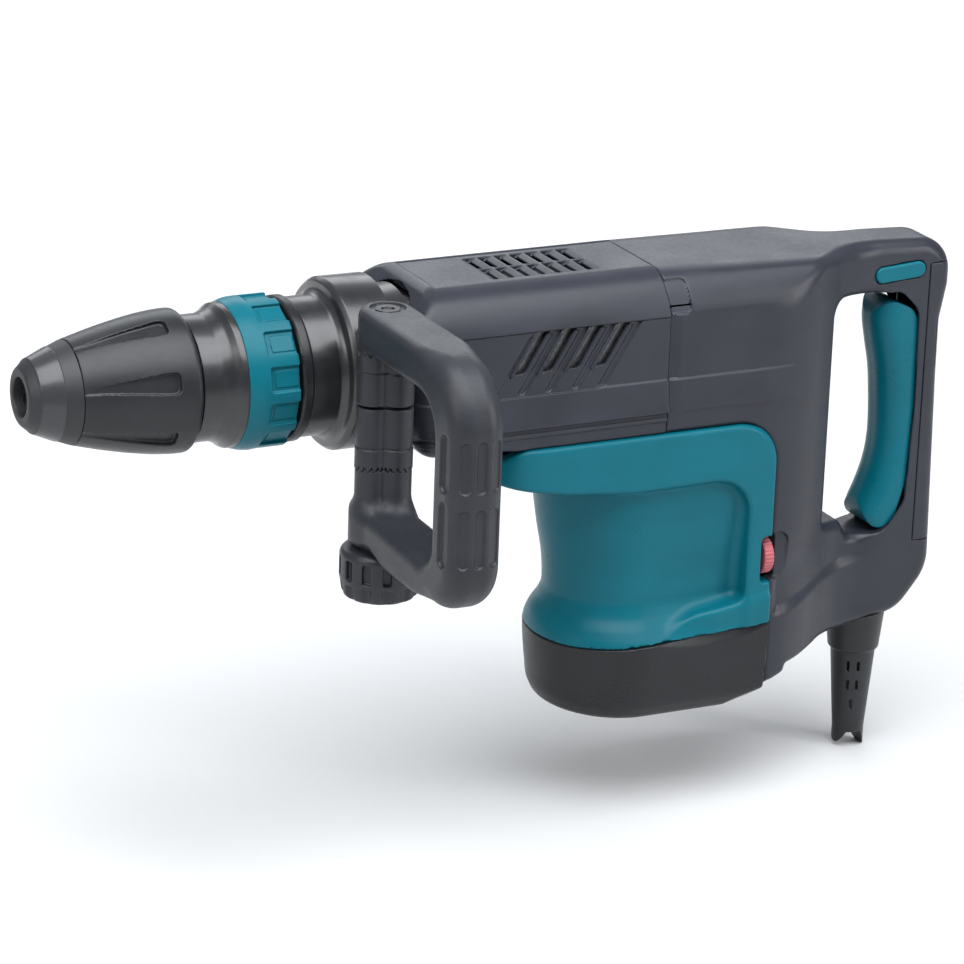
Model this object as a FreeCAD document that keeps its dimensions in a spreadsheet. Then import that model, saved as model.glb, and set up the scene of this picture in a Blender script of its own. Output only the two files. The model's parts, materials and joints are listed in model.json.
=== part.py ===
import FreeCAD, Part
import math
import os
import Sketcher
from FreeCAD import Placement, Rotation, Vector

# Electric demolition hammer. The frame has its origin on the hammer axis, at the mouth of
# the socket that takes the chisel shank. +X runs back to the rear handle, +Z is up.

DIMENSIONS = [
    # chuck
    ("shank_radius", 9.1),
    ("guide_radius", 24.0),
    ("guide_bore", 24.08),
    ("guide_rear", 144.0),
    ("bolt_radius", 16.0),
    ("bolt_bore", 16.08),
    ("bolt_shoulder", 88.0),
    ("cap_front", -6.0),
    ("cap_rear", 19.5),
    ("cap_radius", 27.8),
    ("sleeve_front", 19.8),
    ("sleeve_rear", 82.0),
    ("sleeve_radius", 37.8),
    ("neck_radius", 34.0),
    ("neck_front", 83.5),
    ("flare_radius", 38.7),
    ("flare_rear", 107.0),
    ("ring_rear", 135.5),
    ("ring_radius", 41.0),
    # barrel and impact mechanism
    ("nose_front", 137.0),
    ("nose_rear", 144.0),
    ("nose_radius", 39.3),
    ("barrel_radius", 37.8),
    ("drum_front", 163.0),
    ("drum_rear", 191.5),
    ("drum_radius", 46.7),
    ("flange_radius", 40.0),
    ("flange_rear", 204.8),
    ("cylinder_front", 151.0),
    ("cylinder_rear", 250.0),
    ("piston_radius", 18.0),
    ("cylinder_bore", 18.08),
    ("striker_front", 164.0),
    ("striker_rear", 200.0),
    ("piston_front", 209.0),
    ("piston_rear", 243.0),
    ("wrist_place", 229.0),
    ("wrist_radius", 5.0),
    ("rod_length", 55.0),
    ("rod_half", 4.0),
    # crank drive
    ("crank_place", 298.0),
    ("crank_throw", 14.0),
    ("gear_module", 2.0),
    ("gear_low", -56.0),
    ("gear_width", 9.0),
    # motor
    ("motor_place", 344.0),
    ("core_radius", 23.0),
    ("stator_radius", 33.0),
    # housings
    ("shell_front", 199.0),
    ("shell_rear", 349.0),
    ("shell_half", 50.5),
    ("cover_low", 21.0),
    ("cover_top", 43.5),
    ("wall", 3.5),
    ("motor_rear", 419.0),
    ("band_half", 52.0),
    ("base_low", -209.0),
    # rear handle
    ("handle_rear", 546.5),
    ("handle_half", 17.8),
    ("lever_half", 15.2),
    ("back_seam", 531.0),
    ("lever_pivot_place", 512.0),
    ("lever_pivot_height", -120.0),
    ("guard_place", 506.5),
    ("guard_top", -178.0),
    # side handle
    ("post_place", 174.0),
    ("post_side", -61.0),
    ("post_radius", 15.0),
    ("post_split", -5.0),
    ("ear_top", 24.0),
    ("ear_low", -40.0),
    ("grip_side", -161.0),
    ("grip_radius", 16.8),
    ("grip_top", 48.0),
    ("grip_low", -82.0),
    ("bolt_rod", 5.0),
    ("knob_radius", 22.0),
    ("knob_low", -110.5),
    ("knob_top", -83.5),
    ("clamp_bore", 46.78),
]

doc = FreeCAD.newDocument("demolition_hammer")
sheet = doc.addObject("Spreadsheet::Sheet", "Dimensions")
pieces = []


def fill_sheet():
    for row, (alias, value) in enumerate(DIMENSIONS, start=1):
        sheet.set(f"A{row}", alias)
        sheet.set(f"B{row}", str(value))
        sheet.setAlias(f"B{row}", alias)
    doc.recompute()


class Size:
    """A number together with the spreadsheet expression that it comes from."""

    def __init__(self, value, text):
        self.value = value
        self.text = text

    def __add__(self, other):
        return Size(self.value + number(other), f"({self.text} + {words(other)})")

    def __sub__(self, other):
        return Size(self.value - number(other), f"({self.text} - {words(other)})")

    def __mul__(self, other):
        return Size(self.value * number(other), f"({self.text} * {words(other)})")

    def __neg__(self):
        return Size(-self.value, f"(0 - {self.text})")


def number(value):
    return value.value if isinstance(value, Size) else value


def words(value):
    return value.text if isinstance(value, Size) else str(value)


def size(alias):
    return Size(float(sheet.get(alias)), f"Dimensions.{alias}")


def dim(alias):
    return float(sheet.get(alias))


def bind(thing, prop, value):
    if isinstance(value, Size):
        thing.setExpression(prop, value.text)
    else:
        setattr(thing, prop, value)


# ---------------------------------------------------------------- document helpers


def keep(thing, name):
    thing.Label = name
    pieces.append(thing)
    return thing


def shaped(name, shape):
    thing = doc.addObject("Part::Feature", name)
    thing.Shape = shape
    return keep(thing, name)


def turned(name, outline, final=True):
    """A body revolved about the hammer axis from (place, radius) corners."""
    body = doc.addObject("PartDesign::Body", name if final else f"{name}_blank")
    sketch = body.newObject("Sketcher::SketchObject", f"{name}_outline")
    plane = [part for part in body.Origin.OriginFeatures if part.Role == "XZ_Plane"][0]
    sketch.AttachmentSupport = [(plane, "")]
    sketch.MapMode = "FlatFace"
    count = len(outline)
    spots = [Vector(number(place), number(radius), 0) for place, radius in outline]
    for index in range(count):
        line = Part.LineSegment(spots[index], spots[(index + 1) % count])
        sketch.addGeometry(line, False)
    for index in range(count):
        sketch.addConstraint(Sketcher.Constraint("Coincident", index, 2, (index + 1) % count, 1))
    for index, corner in enumerate(outline):
        for kind, value in zip(("DistanceX", "DistanceY"), corner):
            rule = sketch.addConstraint(Sketcher.Constraint(kind, -1, 1, index, 1, number(value)))
            if isinstance(value, Size):
                sketch.setExpression(f"Constraints[{rule}]", value.text)
    spin = body.newObject("PartDesign::Revolution", f"{name}_turn")
    spin.Profile = sketch
    spin.ReferenceAxis = (sketch, ["H_Axis"])
    spin.Angle = 360
    doc.recompute()
    return keep(body, name) if final else body


def disc(name, radius, low, length, spot, axis):
    """A Part cylinder along X, Y or Z, from low along that axis."""
    turn = {
        "X": Rotation(Vector(0, 1, 0), 90),
        "Y": Rotation(Vector(1, 0, 0), -90),
        "Z": Rotation(),
    }[axis]
    thing = doc.addObject("Part::Cylinder", name)
    bind(thing, "Radius", radius)
    bind(thing, "Height", length)
    place = dict(zip("XYZ", (spot[0], spot[1], spot[2])))
    place[axis] = low
    thing.Placement = Placement(Vector(*(number(place[key]) for key in "XYZ")), turn)
    for key, value in place.items():
        if isinstance(value, Size):
            thing.setExpression(f"Placement.Base.{key.lower()}", value.text)
    return thing


def ring(name, outer, inner, low, length, spot=(0, 0, 0), axis="X"):
    """A plain ring made as a bored cylinder."""
    body = disc(f"{name}_body", outer, low, length, spot, axis)
    bore = disc(f"{name}_bore", inner, low, length, spot, axis)
    cut = doc.addObject("Part::Cut", name)
    cut.Base = body
    cut.Tool = bore
    return keep(cut, name)


def joined(name, parts):
    fuse = doc.addObject("Part::MultiFuse", name)
    fuse.Shapes = parts
    return keep(fuse, name)


# ---------------------------------------------------------------- shape helpers


def rounded_wire(corners, spot):
    """A closed wire through (u, v, radius) corners, with an arc at each corner of some radius."""
    count = len(corners)
    edges = []
    ends = []
    for index, (u, v, radius) in enumerate(corners):
        here = Vector(u, v, 0)
        before = Vector(*corners[index - 1][:2], 0) - here
        after = Vector(*corners[(index + 1) % count][:2], 0) - here
        before.normalize()
        after.normalize()
        if radius == 0:
            ends.append((here, here, here))
            continue
        half = before.getAngle(after) / 2
        reach = radius / math.tan(half)
        middle = before + after
        middle.normalize()
        nearest = here + middle * (radius / math.sin(half) - radius)
        ends.append((here + before * reach, nearest, here + after * reach))
    for index, (start, nearest, end) in enumerate(ends):
        if (end - start).Length > 1e-6:
            edges.append(Part.Arc(spot(start), spot(nearest), spot(end)).toShape())
        following = ends[(index + 1) % count][0]
        if (following - end).Length > 1e-6:
            edges.append(Part.LineSegment(spot(end), spot(following)).toShape())
    return Part.Wire(edges)


def prism(corners, plane, low, high):
    """A solid of a rounded outline in plane XZ, XY or YZ, from low to high along the third axis."""
    spot = {
        "XZ": lambda p: Vector(p.x, low, p.y),
        "XY": lambda p: Vector(p.x, p.y, low),
        "YZ": lambda p: Vector(low, p.x, p.y),
    }[plane]
    along = {"XZ": Vector(0, 1, 0), "XY": Vector(0, 0, 1), "YZ": Vector(1, 0, 0)}[plane]
    return Part.Face(rounded_wire(corners, spot)).extrude(along * (high - low))


def block(x_low, x_high, y_low, y_high, z_low, z_high):
    corner = Vector(x_low, y_low, z_low)
    return Part.makeBox(x_high - x_low, y_high - y_low, z_high - z_low, corner)


def rod(radius, start, end):
    along = Vector(*end) - Vector(*start)
    return Part.makeCylinder(radius, along.Length, Vector(*start), along)


def mirrored(corners):
    """The outline of a half-section with its copy across the axis."""
    return list(corners) + [(u, -v, radius) for u, v, radius in reversed(corners)]


def around(shape, count, start=0.0):
    """Copies of a shape spread evenly about the hammer axis."""
    turns = [start + 360 * index / count for index in range(count)]
    return [shape.rotated(Vector(0, 0, 0), Vector(1, 0, 0), turn) for turn in turns]


def fused(shapes):
    return shapes[0].fuse(shapes[1:]) if len(shapes) > 1 else shapes[0]


def both_sides(shape):
    return [shape, shape.mirror(Vector(0, 0, 0), Vector(0, 1, 0))]


# ---------------------------------------------------------------- chuck


def front_cap():
    lip = size("cap_front")
    turned("front_cap", [
        (lip, 10.6),
        (lip, 15.6),
        (lip + 1.6, 17.6),
        (lip + 5, 19.5),
        (lip + 12, 23.0),
        (lip + 18, 25.3),
        (size("cap_rear"), size("cap_radius")),
        (size("cap_rear"), 15.0),
        (lip + 5.6, 15.0),
        (lip + 5.6, 10.6),
    ])


SLEEVE_GROOVES = 7
RING_POCKETS = 13


def release_sleeve():
    front = size("sleeve_front")
    rear = size("sleeve_rear")
    wide = size("sleeve_radius")
    blank = turned("release_sleeve", [
        (front, size("guide_bore")),
        (front, size("cap_radius")),
        (front + 19.2, wide - 5.5),
        (front + 34.2, wide - 2.6),
        (front + 49.2, wide - 0.6),
        (rear - 4.2, wide),
        (rear - 1.2, wide - 0.6),
        (rear, wide - 1.8),
        (rear, size("neck_radius") + 0.35),
        (rear - 12, size("neck_radius") + 0.35),
        (rear - 12, 29.2),
        (front + 24.4, 29.2),
        (front + 24.4, size("guide_bore")),
    ], final=False)
    groove_rear = number(rear) - 18
    groove_front = number(front) + 12
    groove_half = 6.3
    groove = Part.makeLoft([
        groove_section(groove_front, 28.6, 2.2),
        groove_section(groove_rear, 34.6, groove_half),
    ], True)
    end = rod(groove_half, (groove_rear, 0, 34.6), (groove_rear, 0, 45))
    cuts = around(groove, SLEEVE_GROOVES, 22.5) + around(end, SLEEVE_GROOVES, 22.5)
    shaped("release_sleeve", blank.Shape.cut(cuts))


def groove_section(place, low, half):
    """The outline across one tapering groove, open outwards."""
    corners = [(-half, low), (half, low), (half, 45), (-half, 45)]
    return Part.makePolygon([Vector(place, y, z) for y, z in corners + corners[:1]])


def tool_holder():
    rear = size("guide_rear")
    blank = turned("tool_holder", [
        (0, size("shank_radius")),
        (0, 12.5),
        (1.5, 14.0),
        (19.6, 14.0),
        (19.6, size("guide_radius")),
        (64, size("guide_radius")),
        (64, 28.5),
        (77, 28.5),
        (77, size("guide_radius")),
        (rear, size("guide_radius")),
        (rear, size("bolt_bore")),
        (size("bolt_shoulder"), size("bolt_bore")),
        (size("bolt_shoulder"), size("shank_radius")),
    ], final=False)
    slot = prism([(26, -4, 4), (42, -4, 4), (42, 4, 4), (26, 4, 4)], "XY", 5, 30)
    shaped("tool_holder", blank.Shape.cut(around(slot, 2, 90)))


def locking_lugs():
    """Two steel lugs in the guide's slots, which hold the chisel by the notch in its shank."""
    lug = prism([(26.3, -3.7, 3.7), (41.7, -3.7, 3.7), (41.7, 3.7, 3.7), (26.3, 3.7, 3.7)],
                "XY", dim("shank_radius") + 0.3, dim("guide_radius") - 0.3)
    shaped("locking_lugs", Part.makeCompound(around(lug, 2, 90)))


def chuck_spring():
    wire = 1.3
    coil = 26.6
    start = dim("sleeve_front") + 24.4 + wire + 0.1
    length = 64 - wire - 0.1 - start
    helix = Part.makeHelix(length / 4, length, coil)
    section = Part.Wire(Part.makeCircle(wire, Vector(coil, 0, 0), Vector(0, 1, 0)))
    spring = Part.Wire(helix).makePipeShell([section], True, True)
    spring.rotate(Vector(0, 0, 0), Vector(0, 1, 0), 90)
    spring.translate(Vector(start, 0, 0))
    shaped("chuck_spring", spring)


def ring_collar():
    neck = size("neck_radius")
    rear = size("flare_rear")
    turned("ring_collar", [
        (size("neck_front"), size("guide_bore")),
        (size("neck_front"), neck),
        (rear - 12, neck),
        (rear - 7.5, neck + 1.2),
        (rear - 4.2, neck + 3.4),
        (rear - 2.8, size("flare_radius")),
        (rear, size("flare_radius")),
        (rear, 33),
        (size("ring_rear"), 33),
        (size("ring_rear"), 30.4),
        (rear - 6, 30.4),
        (rear - 6, size("guide_bore")),
    ])


def change_ring():
    front = size("flare_rear")
    rear = size("ring_rear")
    wide = size("ring_radius")
    blank = turned("change_ring", [
        (front, 33),
        (front, size("flare_radius")),
        (front + 9.8, wide),
        (rear - 1, wide),
        (rear, wide - 1),
        (rear, 33),
    ], final=False)
    low = number(front) + 12
    pocket = prism([(low, -6.5, 4), (number(rear) + 5, -6.5, 0), (number(rear) + 5, 6.5, 0),
                    (low, 6.5, 4)], "XY", number(wide) - 2.8, number(wide) + 3)
    shaped("change_ring", blank.Shape.cut(around(pocket, RING_POCKETS, 24)))


# ---------------------------------------------------------------- barrel and impact mechanism


def barrel_nose_ring():
    front = size("nose_front")
    turned("barrel_nose_ring", [
        (front, size("guide_bore")),
        (front, 29.5),
        (front + 0.4, size("nose_radius") - 1),
        (front + 1.4, size("nose_radius")),
        (size("nose_rear"), size("nose_radius")),
        (size("nose_rear"), size("guide_bore")),
    ])


def barrel():
    drum = size("drum_radius")
    front = size("drum_front")
    rear = size("drum_rear")
    blank = turned("barrel", [
        (size("nose_rear"), size("guide_bore")),
        (size("nose_rear"), size("barrel_radius")),
        (front, size("barrel_radius")),
        (front + 0.3, drum - 2.5),
        (front + 1.2, drum - 0.9),
        (front + 3, drum),
        (rear - 1, drum),
        (rear, drum - 1),
        (rear, size("flange_radius")),
        (size("flange_rear"), size("flange_radius")),
        (size("flange_rear"), size("guide_bore")),
    ], final=False)
    hole = rod(3.1, (dim("flange_rear") - 22, 0, 32), (dim("flange_rear") + 5, 0, 32))
    shaped("barrel", blank.Shape.cut(around(hole, 4, 45)))


def barrel_screws():
    """Four screws that hold the barrel to the crank housing."""
    end = dim("flange_rear")
    screw = rod(3, (end - 20, 0, 32), (end + 14, 0, 32))
    head = rod(5, (end + 5.2, 0, 32), (end + 10, 0, 32))
    shaped("barrel_screws", Part.makeCompound(around(screw.fuse(head), 4, 45)))


def impact_bolt():
    shoulder = size("bolt_shoulder")
    wide = size("bolt_radius")
    turned("impact_bolt", [
        (shoulder + 0.5, 0),
        (shoulder + 0.5, wide - 1.5),
        (shoulder + 2, wide),
        (shoulder + 37, wide),
        (shoulder + 38, wide - 1),
        (shoulder + 38, 11),
        (shoulder + 53, 11),
        (shoulder + 54, 10),
        (shoulder + 54, 0),
    ])


def striker():
    front = size("striker_front")
    rear = size("striker_rear")
    wide = size("piston_radius")
    turned("striker", [
        (front - 6, 0),
        (front - 6, 9),
        (front - 5, 10),
        (front, 10),
        (front, wide - 1),
        (front + 1, wide),
        (rear - 9, wide),
        (rear - 9, wide - 2),
        (rear - 5.5, wide - 2),
        (rear - 5.5, wide),
        (rear, wide),
        (rear, 0),
    ])


def striker_seal():
    ring("striker_seal", size("piston_radius") + 0.02, size("piston_radius") - 2,
         size("striker_rear") - 8.8, 3.1)


def cushion_ring():
    ring("cushion_ring", 23.9, 16.6, size("nose_rear") + 1.6, 5)


def cylinder():
    ring("cylinder", size("guide_radius"), size("cylinder_bore"), size("cylinder_front"),
         size("cylinder_rear") - size("cylinder_front"))


def piston():
    front = size("piston_front")
    rear = size("piston_rear")
    wide = size("piston_radius")
    blank = turned("piston", [
        (front, 0),
        (front, wide - 0.8),
        (front + 0.8, wide),
        (rear, wide),
        (rear, 14),
        (front + 8, 14),
        (front + 8, 0),
    ], final=False)
    wrist = dim("wrist_place")
    bore = rod(dim("wrist_radius"), (wrist, 0, -20), (wrist, 0, 20))
    shaped("piston", blank.Shape.cut(bore))


def wrist_pin():
    pin = disc("wrist_pin", size("wrist_radius"), -16.5, 33,
               (size("wrist_place"), 0, 0), "Z")
    keep(pin, "wrist_pin")


def connecting_rod():
    wrist = dim("wrist_place")
    crank = wrist + dim("rod_length")
    half = dim("rod_half")
    small = rod(10, (wrist, 0, -half), (wrist, 0, half))
    big = rod(13, (crank, 0, -half), (crank, 0, half))
    shank = block(wrist, crank, -6, 6, -half, half)
    body = small.fuse([big, shank])
    bores = [rod(dim("wrist_radius") + 0.06, (wrist, 0, -9), (wrist, 0, 9)),
             rod(7.4, (crank, 0, -9), (crank, 0, 9))]
    waist = prism([(wrist + 15, -3, 3), (crank - 18, -3, 3), (crank - 18, 3, 3),
                   (wrist + 15, 3, 3)], "XY", -half, half)
    shaped("connecting_rod", body.cut(bores + [waist]))


# ---------------------------------------------------------------- crank drive


def gear(teeth, module, width, low, turn, bore):
    """A spur gear about Z with involute flanks, a pressure angle of 25 degrees and some play."""
    pitch = teeth * module / 2
    base = pitch * math.cos(math.radians(25))
    tip = pitch + 0.72 * module
    root = pitch - 0.95 * module
    play = 0.16 / pitch
    at_pitch = math.pi / 2 / teeth - play + involute(pitch, base)
    start = max(base, root)
    steps = [start + (tip - start) * index / 4 for index in range(5)]
    flank = [(radius, at_pitch - involute(radius, base)) for radius in steps]
    edges = []
    for index in range(teeth):
        middle = turn + 2 * math.pi * index / teeth
        rise = [polar(radius, middle - angle, low) for radius, angle in flank]
        fall = [polar(radius, middle + angle, low) for radius, angle in reversed(flank)]
        foot_in = polar(root, middle - flank[0][1], low)
        foot_out = polar(root, middle + flank[0][1], low)
        if root < start:
            edges.append(Part.LineSegment(foot_in, rise[0]).toShape())
        edges.append(flank_edge(rise))
        edges.append(Part.Arc(rise[-1], polar(tip, middle, low), fall[0]).toShape())
        edges.append(flank_edge(fall))
        if root < start:
            edges.append(Part.LineSegment(fall[-1], foot_out).toShape())
        after = middle + 2 * math.pi / teeth
        valley = polar(root, middle + math.pi / teeth, low)
        edges.append(Part.Arc(foot_out, valley, polar(root, after - flank[0][1], low)).toShape())
    solid = Part.Face(Part.Wire(Part.sortEdges(edges)[0])).extrude(Vector(0, 0, width))
    return solid.cut(rod(bore, (0, 0, low - 1), (0, 0, low + width + 1)))


def involute(radius, base):
    ratio = max(radius / base, 1.0)
    roll = math.sqrt(ratio * ratio - 1)
    return roll - math.atan(roll)


def polar(radius, angle, height):
    return Vector(radius * math.cos(angle), radius * math.sin(angle), height)


def flank_edge(spots):
    curve = Part.BSplineCurve()
    curve.interpolate(spots)
    return curve.toShape()


GEAR_TEETH = 38
PINION_TEETH = 8
GEAR_BORE = 10.0


def crank_gear():
    wheel = gear(GEAR_TEETH, dim("gear_module"), dim("gear_width"), dim("gear_low"), 0.0, GEAR_BORE)
    rim = rod(32, (0, 0, -49.5), (0, 0, -46)).cut(rod(16, (0, 0, -49.5), (0, 0, -46)))
    wheel = wheel.cut(rim)
    wheel.translate(Vector(dim("crank_place"), 0, 0))
    shaped("crank_gear", wheel)


def crankshaft():
    spot = (size("crank_place"), 0, 0)
    pin_spot = (size("crank_place") - size("crank_throw"), 0, 0)
    joined("crankshaft", [
        disc("crank_journal_low", 8, -65.5, 10, spot, "Z"),
        disc("crank_journal", GEAR_BORE, -56.5, 36, spot, "Z"),
        disc("crank_disc", 23, -22, 12, spot, "Z"),
        disc("crank_pin", 7, -12, 7.4, pin_spot, "Z"),
    ])


def crank_bearings():
    spot = (size("crank_place"), 0, 0)
    ring("crank_bearing_low", 15, 8.05, -65.4, 7.4, spot, "Z")
    ring("crank_bearing_high", 17, 10.05, -41, 12, spot, "Z")


def crank_housing():
    """The cast inner housing round the crank and the rear of the cylinder."""
    low = -66.0
    outer = prism([(-44.5, low, 8), (44.5, low, 8), (44.5, 33, 14), (-44.5, 33, 14)],
                  "YZ", 205, 366)
    room = prism([(-40.5, -57, 2), (40.5, -57, 2), (40.5, 29, 10), (-40.5, 29, 10)],
                 "YZ", 210, 362)
    side = prism([(205, -38.5, 0), (254.4, -38.5, 0), (254.4, low, 6), (366, low, 6),
                  (366, 33, 10), (212, 33, 0), (205, 26, 0)], "XZ", -60, 60)
    side_room = prism([(210, -34.5, 4), (257.6, -34.5, 0), (257.6, -57, 3), (362, -57, 3),
                       (362, 29, 6), (210, 29, 4)], "XZ", -60, 60)
    foot = prism(mirrored([(254.4, 26, 16), (266, 44.5, 16), (367, 44.5, 0)]), "XY", low - 1, -38.5)
    above = block(200, 367, -50, 50, -38.5, 40)
    outer = outer.common(side).common(foot.fuse(above))
    room = room.common(side_room)
    bridge = block(276, 320, -41, 41, -43, -27)
    crank = dim("crank_place")
    motor = dim("motor_place")
    body = outer.cut(room).fuse(bridge)
    body = body.cut([
        rod(dim("guide_radius"), (200, 0, 0), (215, 0, 0)),
        rod(15, (crank, 0, -65.4), (crank, 0, -50)),
        rod(9.5, (crank, 0, low - 1), (crank, 0, -50)),
        rod(17, (crank, 0, -41), (crank, 0, -20)),
        rod(10.8, (crank, 0, -45), (crank, 0, -20)),
        rod(10.5, (motor, 0, low - 1), (motor, 0, -50)),
    ] + around(rod(3.1, (200, 0, 32), (215, 0, 32)), 4, 45)
        + around(rod(5.1, (210, 0, 32), (215.1, 0, 32)), 4, 45))
    shaped("crank_housing", body)


# ---------------------------------------------------------------- motor


def armature():
    spot = (size("motor_place"), 0, 0)
    joined("armature_shaft", [
        disc("armature_spindle", 5.5, -192, 127, spot, "Z"),
        disc("armature_seat", 5.8, -68, 13, spot, "Z"),
    ])
    turn = math.pi / PINION_TEETH
    pinion = gear(PINION_TEETH, dim("gear_module"), 11, -55.0, turn + math.pi, 3)
    core = rod(3, (0, 0, -55.0), (0, 0, -44.0))
    pinion = pinion.fuse(core)
    pinion.translate(Vector(dim("motor_place"), 0, 0))
    shaped("armature_pinion", pinion)


def armature_core():
    motor = dim("motor_place")
    core = rod(dim("core_radius"), (0, 0, -140), (0, 0, -92))
    slot = block(dim("core_radius") - 6, dim("core_radius") + 2, -1.2, 1.2, -141, -91)
    slots = [slot.rotated(Vector(), Vector(0, 0, 1), 360 * index / 14) for index in range(14)]
    core = core.cut(slots + [rod(5.5, (0, 0, -141), (0, 0, -91))])
    core.translate(Vector(motor, 0, 0))
    shaped("armature_core", core)


def commutator():
    motor = dim("motor_place")
    drum = rod(15, (0, 0, -170), (0, 0, -150))
    slot = block(13.8, 17, -0.4, 0.4, -171, -149)
    slots = [slot.rotated(Vector(), Vector(0, 0, 1), 360 * index / 24) for index in range(24)]
    drum = drum.cut(slots + [rod(5.5, (0, 0, -171), (0, 0, -149))])
    drum.translate(Vector(motor, 0, 0))
    shaped("commutator", drum)


def fan():
    motor = dim("motor_place")
    plate = rod(30, (0, 0, -78), (0, 0, -76))
    hub = rod(9, (0, 0, -86), (0, 0, -76))
    blade = block(10, 30, -0.8, 0.8, -86, -77)
    blades = [blade.rotated(Vector(15, 0, 0), Vector(0, 0, 1), 25)
              .rotated(Vector(), Vector(0, 0, 1), 360 * index / 12) for index in range(12)]
    limit = rod(30, (0, 0, -86), (0, 0, -76))
    body = plate.fuse([hub] + [piece.common(limit) for piece in blades])
    body = body.cut(rod(5.5, (0, 0, -90), (0, 0, -70)))
    body.translate(Vector(motor, 0, 0))
    shaped("fan", body)


def motor_bearings():
    spot = (size("motor_place"), 0, 0)
    ring("motor_bearing_high", 12, 5.85, -73, 5, spot, "Z")
    ring("motor_bearing_low", 11, 5.55, -191, 7, spot, "Z")


def bearing_plate():
    """The plate over the fan, which holds the upper motor bearing."""
    motor = dim("motor_place")
    slab = block(290, motor + 38, -60, 60, -73, -67)
    plate = column(4, motor + 38, COLUMN).common(slab)
    shaped("bearing_plate", plate.cut([rod(12, (motor, 0, -74), (motor, 0, -68)),
                                       rod(10, (motor, 0, -70), (motor, 0, -60))]))


def field_stator():
    motor = dim("motor_place")
    body = rod(dim("stator_radius"), (motor, 0, -140), (motor, 0, -92))
    bore = rod(dim("core_radius") + 0.8, (motor, 0, -141), (motor, 0, -91))
    windows = [block(motor - 9, motor + 9, side * 24 - 4.5, side * 24 + 4.5, -141, -91)
               for side in (-1, 1)]
    shaped("field_stator", body.cut([bore] + windows))


def brushes():
    motor = dim("motor_place")
    holder = block(motor + 17, motor + 33, -6, 6, -165, -153)
    tunnel = block(motor + 10, motor + 31, -4, 4, -163, -155)
    carbon = block(motor + 15.3, motor + 28, -4, 4, -163, -155)
    spin = Rotation(Vector(0, 0, 1), 180)
    centre = Vector(motor, 0, 0)
    holders = []
    carbons = []
    for shape, store in ((holder.cut(tunnel), holders), (carbon, carbons)):
        other = shape.copy()
        other.Placement = Placement(Vector(), spin, centre)
        store.extend([shape, other])
    shaped("brush_holders", Part.makeCompound(holders))
    shaped("carbon_brushes", Part.makeCompound(carbons))


# ---------------------------------------------------------------- housings


def top_section(inset):
    """The saddle cross-section of the top cover, as (y, z) corners."""
    side = dim("shell_half") - inset
    top = dim("cover_top") - inset
    low = dim("cover_low")
    return [(-side, low, 0), (-side + 1.5, 31, 12), (-25, top, 16), (25, top, 16),
            (side - 1.5, 31, 12), (side, low, 0)]


def top_cover():
    front = dim("shell_front")
    rear = dim("shell_rear")
    outer = prism(top_section(0), "YZ", front, rear - 0.2)
    nose = prism([(front - 5, 60, 0), (front + 16, 60, 0), (front + 13, dim("cover_top"), 0),
                  (front, 28, 0), (front - 5, 28, 0)], "XZ", -60, 60)
    inner = prism(top_section(dim("wall")), "YZ", front + 5.6, rear + 1)
    inner = inner.common(prism([(front, 10, 0), (front + 5.6, 10, 0), (front + 5.6, 29.2, 0),
                                (front + 15.7, 41.3, 0), (rear + 2, 41.3, 0), (rear + 2, 10, 0)],
                               "XZ", -60, 60))
    cuts = [nose, inner, block(front + 5.6, rear + 1, -47, 47, 10, 25),
            rod(dim("flange_radius") + 0.4, (front - 5, 0, 0), (front + 12, 0, 0))]
    for column in (-1, 1):
        for index in range(7):
            place = 256 + index * 9.4
            y_low, y_high = sorted((column * 2.2, column * 19))
            slot = prism([(place, y_low, 2), (place + 5, y_low, 2),
                          (place + 5, y_high, 2), (place, y_high, 2)], "XY", 30, 50)
            cuts.append(slot)
    shaped("top_cover", outer.cut(cuts))


def body_shell():
    front = dim("shell_front")
    rear = dim("shell_rear")
    side = dim("shell_half")
    top = dim("cover_low") - 0.2
    outer = prism([(-side, -44, 9), (side, -44, 9), (side, top, 0), (-side, top, 0)],
                  "YZ", front, rear - 0.2)
    plan = prism([(front, -side, 9), (rear, -side, 0), (rear, side, 0), (front, side, 9)],
                 "XY", -50, 30)
    room = prism([(-side + 3.5, -41, 6), (side - 3.5, -41, 6), (side - 3.5, 30, 0),
                  (-side + 3.5, 30, 0)], "YZ", front + 5, rear + 1)
    cuts = [room, rod(dim("flange_radius") + 0.4, (front - 5, 0, 0), (front + 12, 0, 0)),
            block(254, rear + 1, -45, 45, -50, -30)]
    for index in range(4):
        place = 256 + index * 16.1
        slot = prism([(place, -1, 2), (place + 6, -1, 2), (place + 17, 17, 2), (place + 11, 17, 2)],
                     "XZ", -60, -40)
        cuts.extend(both_sides(slot))
    shaped("body_shell", outer.common(plan).cut(cuts))


def column_outline(place_rear, front_reach, half, height):
    """The D-shaped plan of the motor column: an elliptical nose and straight flanks."""
    centre = dim("motor_place") + 2
    nose = Part.Ellipse(Vector(centre, 0, height), max(front_reach, half + 0.001), half)
    arc = Part.Arc(nose, math.pi / 2, 3 * math.pi / 2)
    lines = [Part.LineSegment(Vector(centre, -half, height), Vector(place_rear, -half, height)),
             Part.LineSegment(Vector(place_rear, -half, height), Vector(place_rear, half, height)),
             Part.LineSegment(Vector(place_rear, half, height), Vector(centre, half, height))]
    return Part.Wire([arc.toShape()] + [line.toShape() for line in lines])


COLUMN = [(-60, 49, 46), (-85, 48, 45), (-110, 44.5, 42), (-132, 40.5, 39), (-146, 39, 38.6),
          (-155, 41.5, 41.4), (-162, 46.5, 46.4), (-167, 48.5, 51.0), (-180, 48.6, 52.4)]


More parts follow.
